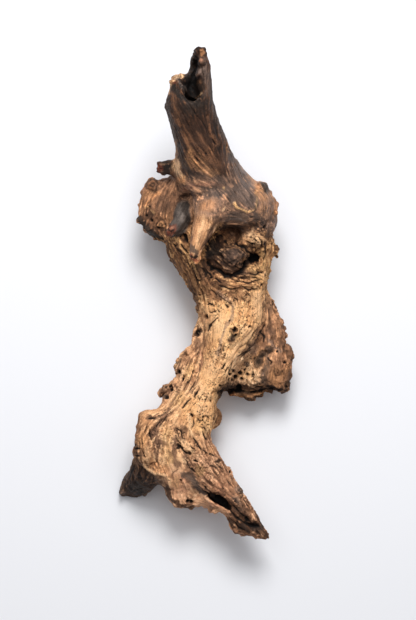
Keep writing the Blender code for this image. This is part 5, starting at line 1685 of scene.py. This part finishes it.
class WoodMaterials:
    """The root's materials, and the node groups that they share."""

    TAPS = 5             # places along the grain that the fine fibres are averaged over
    TAP_STEP = 1.15      # fibre widths from one such place to the next
    PORE_SIZE = 2.1      # mm between pores
    PORE_SHARE = 0.52    # the share of the pores' cells that hold one
    SHINE = 0.20         # the wood's specular level
    # Where each mask starts and where it is full, in the noise or the attribute that it is made from.
    FIBRES, LINES, TICKS = (0.36, 0.64), (0.026, 0.006), (0.435, 0.385)
    PORES, CROOKED, PATCHES = (0.36, 0.24), (0.040, 0.008), (0.50, 0.58)
    OPENED, BORED = (0.50, 0.78), (0.25, 0.58)
    # How much the pits, the pores, the ticks and the cracks darken the wood; in the pits and the cracks it is
    # painted shade.
    PIT_DARK, PORE_DARK, TICK_DARK, CRACK_DARK = 0.88, 0.82, 0.62, 0.86

    SKIN = SurfaceFinish("weathered_wood", 0.70, 0.32, 0.80, 0.62)
    BROKEN = SurfaceFinish("broken_wood", 0.80, 0.50, 0.70, 0.70, 0.95, 0.08)
    # The hollow's wall, made darker as painted shade inside the hollow.
    SHADED_HOLLOW = SurfaceFinish("hollow_wall_in_shade", 0.40, 0.35, 0.90, 0.50, 0.55, 0.15)

    def __init__(self) -> None:
        """Builds the shared groups and then the materials."""
        self.fibre_group = self._fibres()
        self.speck_group = self._specks()
        self.skin = self._material(self.SKIN)
        self.broken = self._material(self.BROKEN)
        self.shaded_hollow = self._material(self.SHADED_HOLLOW)

    def _fibres(self) -> bpy.types.NodeTree:
        """A group of fine fibres drawn out along the grain, with thin dark lines and ticks among them.

        Returns:
            A group with an input Width and the outputs Fibres, Lines and Ticks, from 0 to 1.
        """
        outputs = dict.fromkeys(("Fibres", "Lines", "Ticks"), "Float")
        desk = NodeDesk(node_group("fine_fibres", "ShaderNodeTree", {"Width": "Float"}, outputs))
        width = desk.node("NodeGroupInput").outputs["Width"]
        place = desk.node("ShaderNodeTexCoord").outputs["Object"]
        grain = desk.attribute("grain", "Vector")
        fine = self._drawn_out(desk, place, grain, width)
        low, high = self.FIBRES
        spread = desk.node("ShaderNodeMapRange", {"Value": fine, "From Min": low, "From Max": high})
        broad = self._drawn_out(desk, place, grain, desk.maths("MULTIPLY", width, 2.2))
        middle = desk.maths("ABSOLUTE", desk.maths("SUBTRACT", broad, 0.485))
        desk.node("NodeGroupOutput", {
            "Fibres": spread.outputs["Result"], "Lines": desk.ramp(middle, *self.LINES),
            "Ticks": desk.ramp(fine, *self.TICKS),
        })
        return desk.tree

    def _drawn_out(self, desk: NodeDesk, place: Socket, grain: Socket, width: Socket) -> Socket:
        """Adds noise that is averaged over a few places along the grain.

        Args:
            desk: the tree's desk.
            place: where the noise is read.
            grain: the grain's direction.
            width: a fibre's width.

        Returns:
            The mean of the noise, around a half.
        """
        total = None
        for tap in range(self.TAPS):
            reach = desk.maths("MULTIPLY", width, self.TAP_STEP * (tap - (self.TAPS - 1) / 2))
            spot = desk.vector("ADD", {0: place, 1: desk.vector("SCALE", {0: grain, "Scale": reach})})
            noise = desk.noise(spot, desk.maths("DIVIDE", 1.0, width), Detail=1.0)
            total = noise if total is None else desk.maths("ADD", total, noise)
        return desk.maths("DIVIDE", total, float(self.TAPS))

    def _specks(self) -> bpy.types.NodeTree:
        """A group of tiny dark pores and short crooked ticks, as worm-eaten wood has.

        Returns:
            A group with an input Size and an output Pores from 0 to 1.
        """
        desk = NodeDesk(node_group("fine_pores", "ShaderNodeTree", {"Size": "Float"}, {"Pores": "Float"}))
        place = desk.node("ShaderNodeTexCoord").outputs["Object"]
        often = desk.maths("DIVIDE", 1.0, desk.node("NodeGroupInput").outputs["Size"])
        cells = desk.node("ShaderNodeTexVoronoi", {"Vector": place, "Scale": often}, feature="F1").outputs
        chosen = desk.node("ShaderNodeSeparateColor", {0: cells["Color"]}).outputs[0]
        some = desk.maths("LESS_THAN", chosen, self.PORE_SHARE)
        dots = desk.maths("MULTIPLY", desk.ramp(cells["Distance"], *self.PORES), some)
        lines = desk.noise(place, desk.maths("MULTIPLY", often, 0.62), Detail=1.0)
        middle = desk.maths("ABSOLUTE", desk.maths("SUBTRACT", lines, 0.5))
        kept = desk.ramp(desk.noise(place, desk.maths("MULTIPLY", often, 0.38)), *self.PATCHES)
        ticks = desk.maths("MULTIPLY", desk.ramp(middle, *self.CROOKED), kept)
        desk.node("NodeGroupOutput", {"Pores": desk.maths("MAXIMUM", dots, ticks)})
        return desk.tree

    def _material(self, finish: SurfaceFinish) -> bpy.types.Material:
        """One wood material.

        Args:
            finish: its numbers.

        Returns:
            The material, which reads the skin's attributes.
        """
        material = bpy.data.materials.new(finish.name)
        material.use_nodes = True
        desk = NodeDesk(material.node_tree)
        shader = material.node_tree.nodes["Principled BSDF"]
        tone = desk.attribute("tone", "Color")
        names = ("worn", "pit", "pit_share", "streaky", "open")
        worn, pit, eaten, streaky, split = (desk.attribute(name) for name in names)
        width = {"Width": finish.fibre_width * MM}
        fibres = desk.node("ShaderNodeGroup", width, node_tree=self.fibre_group).outputs
        grain = fibres["Fibres"]
        lines = desk.maths("MULTIPLY", fibres["Lines"], streaky)
        size = {"Size": self.PORE_SIZE * MM}
        specks = desk.node("ShaderNodeGroup", size, node_tree=self.speck_group).outputs["Pores"]
        pores = desk.maths("MULTIPLY", specks, desk.maths("MULTIPLY_ADD", eaten, 0.95, 0.12))

        ticks = desk.maths("MULTIPLY", fibres["Ticks"], desk.maths("MULTIPLY_ADD", eaten, 0.95, 0.25))
        # The open cracks and the pits are darkened below as painted shade inside them.
        frayed = desk.maths("ADD", split, desk.maths("MULTIPLY_ADD", grain, 0.30, -0.15))
        cracks = desk.ramp(frayed, *self.OPENED)
        shade_in_pits = desk.ramp(pit, *self.BORED)
        bright = desk.maths("MULTIPLY_ADD", grain, finish.grain_contrast, 1.0 - 0.5 * finish.grain_contrast)
        masks = (
            (shade_in_pits, self.PIT_DARK), (pores, self.PORE_DARK), (lines, finish.line_contrast),
            (ticks, self.TICK_DARK), (cracks, self.CRACK_DARK),
        )
        for mask, share in masks:
            bright = desk.maths("MULTIPLY", bright, desk.maths("MULTIPLY_ADD", mask, -share, 1.0))
        bright = desk.maths("MULTIPLY", bright, finish.brightness)
        desk.wire(desk.vector("SCALE", {0: tone, "Scale": bright}), shader.inputs["Base Color"])

        rough = desk.maths("MULTIPLY_ADD", grain, -0.12, 0.06 + finish.roughness_shift)
        desk.wire(desk.maths("ADD", worn, rough), shader.inputs["Roughness"])
        shader.inputs["Specular IOR Level"].default_value = self.SHINE

        sunk = desk.maths("ADD", desk.maths("MULTIPLY", pores, 1.2), desk.maths("MULTIPLY", lines, 0.7))
        bump = desk.node("ShaderNodeBump", {
            "Distance": finish.bump * MM, "Height": desk.maths("SUBTRACT", grain, sunk),
        })
        desk.wire(bump.outputs["Normal"], shader.inputs["Normal"])
        return material


# ---- The root and its studio ----


@dataclass
class WeatheredRoot:
    """The root's whole visible surface, which stands for its CAD solid."""

    mesh: FineMesh = field(default_factory=FineMesh)
    pits: WormPits = field(default_factory=WormPits)
    # The ends that snapped off: x, y, z and a reach, in mm from the drawing's zero.
    broken_spots: tuple[tuple[float, float, float, float], ...] = (
        (-8.8, 24.5, 82, 5.5), (-29.5, 47.5, 71, 6.0), (-40, 100, 59, 5.0), (-5, 193, 122, 4.0),
        (-22, 173, 110, 6.5), (-66, -162, 3, 4.5), (49, -197, 17, 4.0), (9, -101, 26, 7.0),
    )
    # The middle line of the trunk's hollow, the same way, and how far its wall is from that line at most.
    hollow: tuple[tuple[float, float, float], ...] = (
        (-8.5, 138, 98), (-10, 152, 110), (-10.8, 164, 116), (-11, 176, 119),
    )
    hollow_reach: float = 10.5

    def build(self) -> bpy.types.Object:
        """Makes the skin, carves it, paints it and dresses it.

        Returns:
            The finished piece, a plain mesh at the origin.
        """
        skin = self.mesh.build()
        log.info("fine skin: %d faces", len(skin.data.polygons))
        points = SkinPoints(skin)
        points.move_outline()
        anatomy = Anatomy(points)
        relief = Relief(anatomy)
        relief.carve()
        Painter(anatomy, relief).paint()
        materials = WoodMaterials()
        self.pits.sink(skin, materials.skin)
        self._dress(skin, materials)
        skin.data.shade_smooth()
        return skin

    def _dress(self, skin: bpy.types.Object, materials: WoodMaterials) -> None:
        """Gives the broken ends and the hollow their own materials; the hollow's is darker, as painted shade.

        Args:
            skin: the finished skin.
            materials: the root's materials.
        """
        mesh = skin.data
        mesh.materials.clear()
        for material in (materials.skin, materials.broken, materials.shaded_hollow):
            mesh.materials.append(material)
        centres = SkinPoints.read(mesh.polygons, "center", 3) / MM
        centres[:, :2] -= DRAWING_ZERO
        facing = SkinPoints.read(mesh.polygons, "normal", 3)
        slots = np.zeros(len(centres), np.int32)
        for x, y, z, reach in self.broken_spots:
            slots[np.linalg.norm(centres - (x, y, z), axis=1) < reach] = 1
        line = np.array(self.hollow, float)
        distance, _ = path_distance(centres, line)
        nearest = line[np.argmin(np.linalg.norm(centres[:, None, :] - line[None], axis=2), axis=1)]
        inward = np.einsum("ij,ij->i", facing, nearest - centres) > 0
        slots[(distance < self.hollow_reach) & inward] = 2
        mesh.polygons.foreach_set("material_index", slots)
        mesh.update()


@dataclass(frozen=True)
class SoftLight:
    """One round area light that looks at the root."""

    name: str
    place: tuple[float, float, float]    # metres
    size: float                          # metres across
    power: float                         # watts
    tint: tuple[float, float, float] = (1.0, 1.0, 1.0)


@dataclass
class Studio:
    """A pale floor, soft light from above the trunk's end, and the camera over the root."""

    floor_size: float = 6.0     # metres
    floor_colour: tuple[float, float, float, float] = (0.72, 0.73, 0.755, 1)
    lights: tuple[SoftLight, ...] = (
        SoftLight("key", (0.06, 0.92, 1.28), 0.70, 23.0),
        SoftLight("wide", (0.0, 0.60, 1.60), 2.4, 21.0),
    )
    fill: float = 0.22          # the light that comes from all around
    fill_colour: tuple[float, float, float, float] = (0.98, 0.955, 1.0, 1)
    sensor: float = 36.0        # mm
    view_height: float = 0.496  # metres of the drawing level that the picture's height takes in

    def build(self) -> None:
        """Makes everything."""
        self._floor()
        self._lights()
        self._camera()

    def _floor(self) -> None:
        """The floor that the root lies on."""
        bm = bmesh.new()
        bmesh.ops.create_grid(bm, x_segments=1, y_segments=1, size=self.floor_size / 2)
        mesh = bpy.data.meshes.new("floor")
        bm.to_mesh(mesh)
        bm.free()
        floor = put_in_scene("floor", mesh)
        material = bpy.data.materials.new("pale_floor")
        material.use_nodes = True
        shader = material.node_tree.nodes["Principled BSDF"]
        shader.inputs["Base Color"].default_value = self.floor_colour
        shader.inputs["Roughness"].default_value = 0.9
        shader.inputs["Specular IOR Level"].default_value = 0.1
        mesh.materials.append(material)

    def _lights(self) -> None:
        """The soft lights and the faint fill from all around."""
        for soft in self.lights:
            light = bpy.data.lights.new(soft.name, "AREA")
            light.shape = "DISK"
            light.size = soft.size
            light.energy = soft.power
            light.color = soft.tint
            lamp = put_in_scene(soft.name, light)
            lamp.location = soft.place
            lamp.rotation_euler = (-Vector(soft.place)).to_track_quat("-Z", "Y").to_euler()
        world = bpy.data.worlds.new("studio")
        world.use_nodes = True
        background = world.node_tree.nodes["Background"]
        background.inputs["Color"].default_value = self.fill_colour
        background.inputs["Strength"].default_value = self.fill
        bpy.context.scene.world = world

    def _camera(self) -> None:
        """The camera, straight over the root."""
        level = DRAWING_LEVEL * MM
        height = EYE_HEIGHT * MM
        camera = bpy.data.cameras.new("camera")
        camera.sensor_fit = "VERTICAL"
        camera.sensor_height = self.sensor
        camera.lens = self.sensor * (height - level) / self.view_height
        camera.clip_end = 20
        eye = put_in_scene("camera", camera)
        eye.location = (*((EYE + DRAWING_ZERO) * MM), height)
        bpy.context.scene.camera = eye


def main() -> None:
    """Builds the root and its studio, and says what rides on what."""
    logging.basicConfig(level=logging.INFO, format="%(name)s: %(message)s")
    root = WeatheredRoot().build()
    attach(root, "root")
    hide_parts(NODE)
    log.info("%s: %d triangles", root.name, sum(len(face.vertices) - 2 for face in root.data.polygons))
    Studio().build()
    bpy.context.scene.view_settings.view_transform = "Standard"


if __name__ == "__main__":
    main()
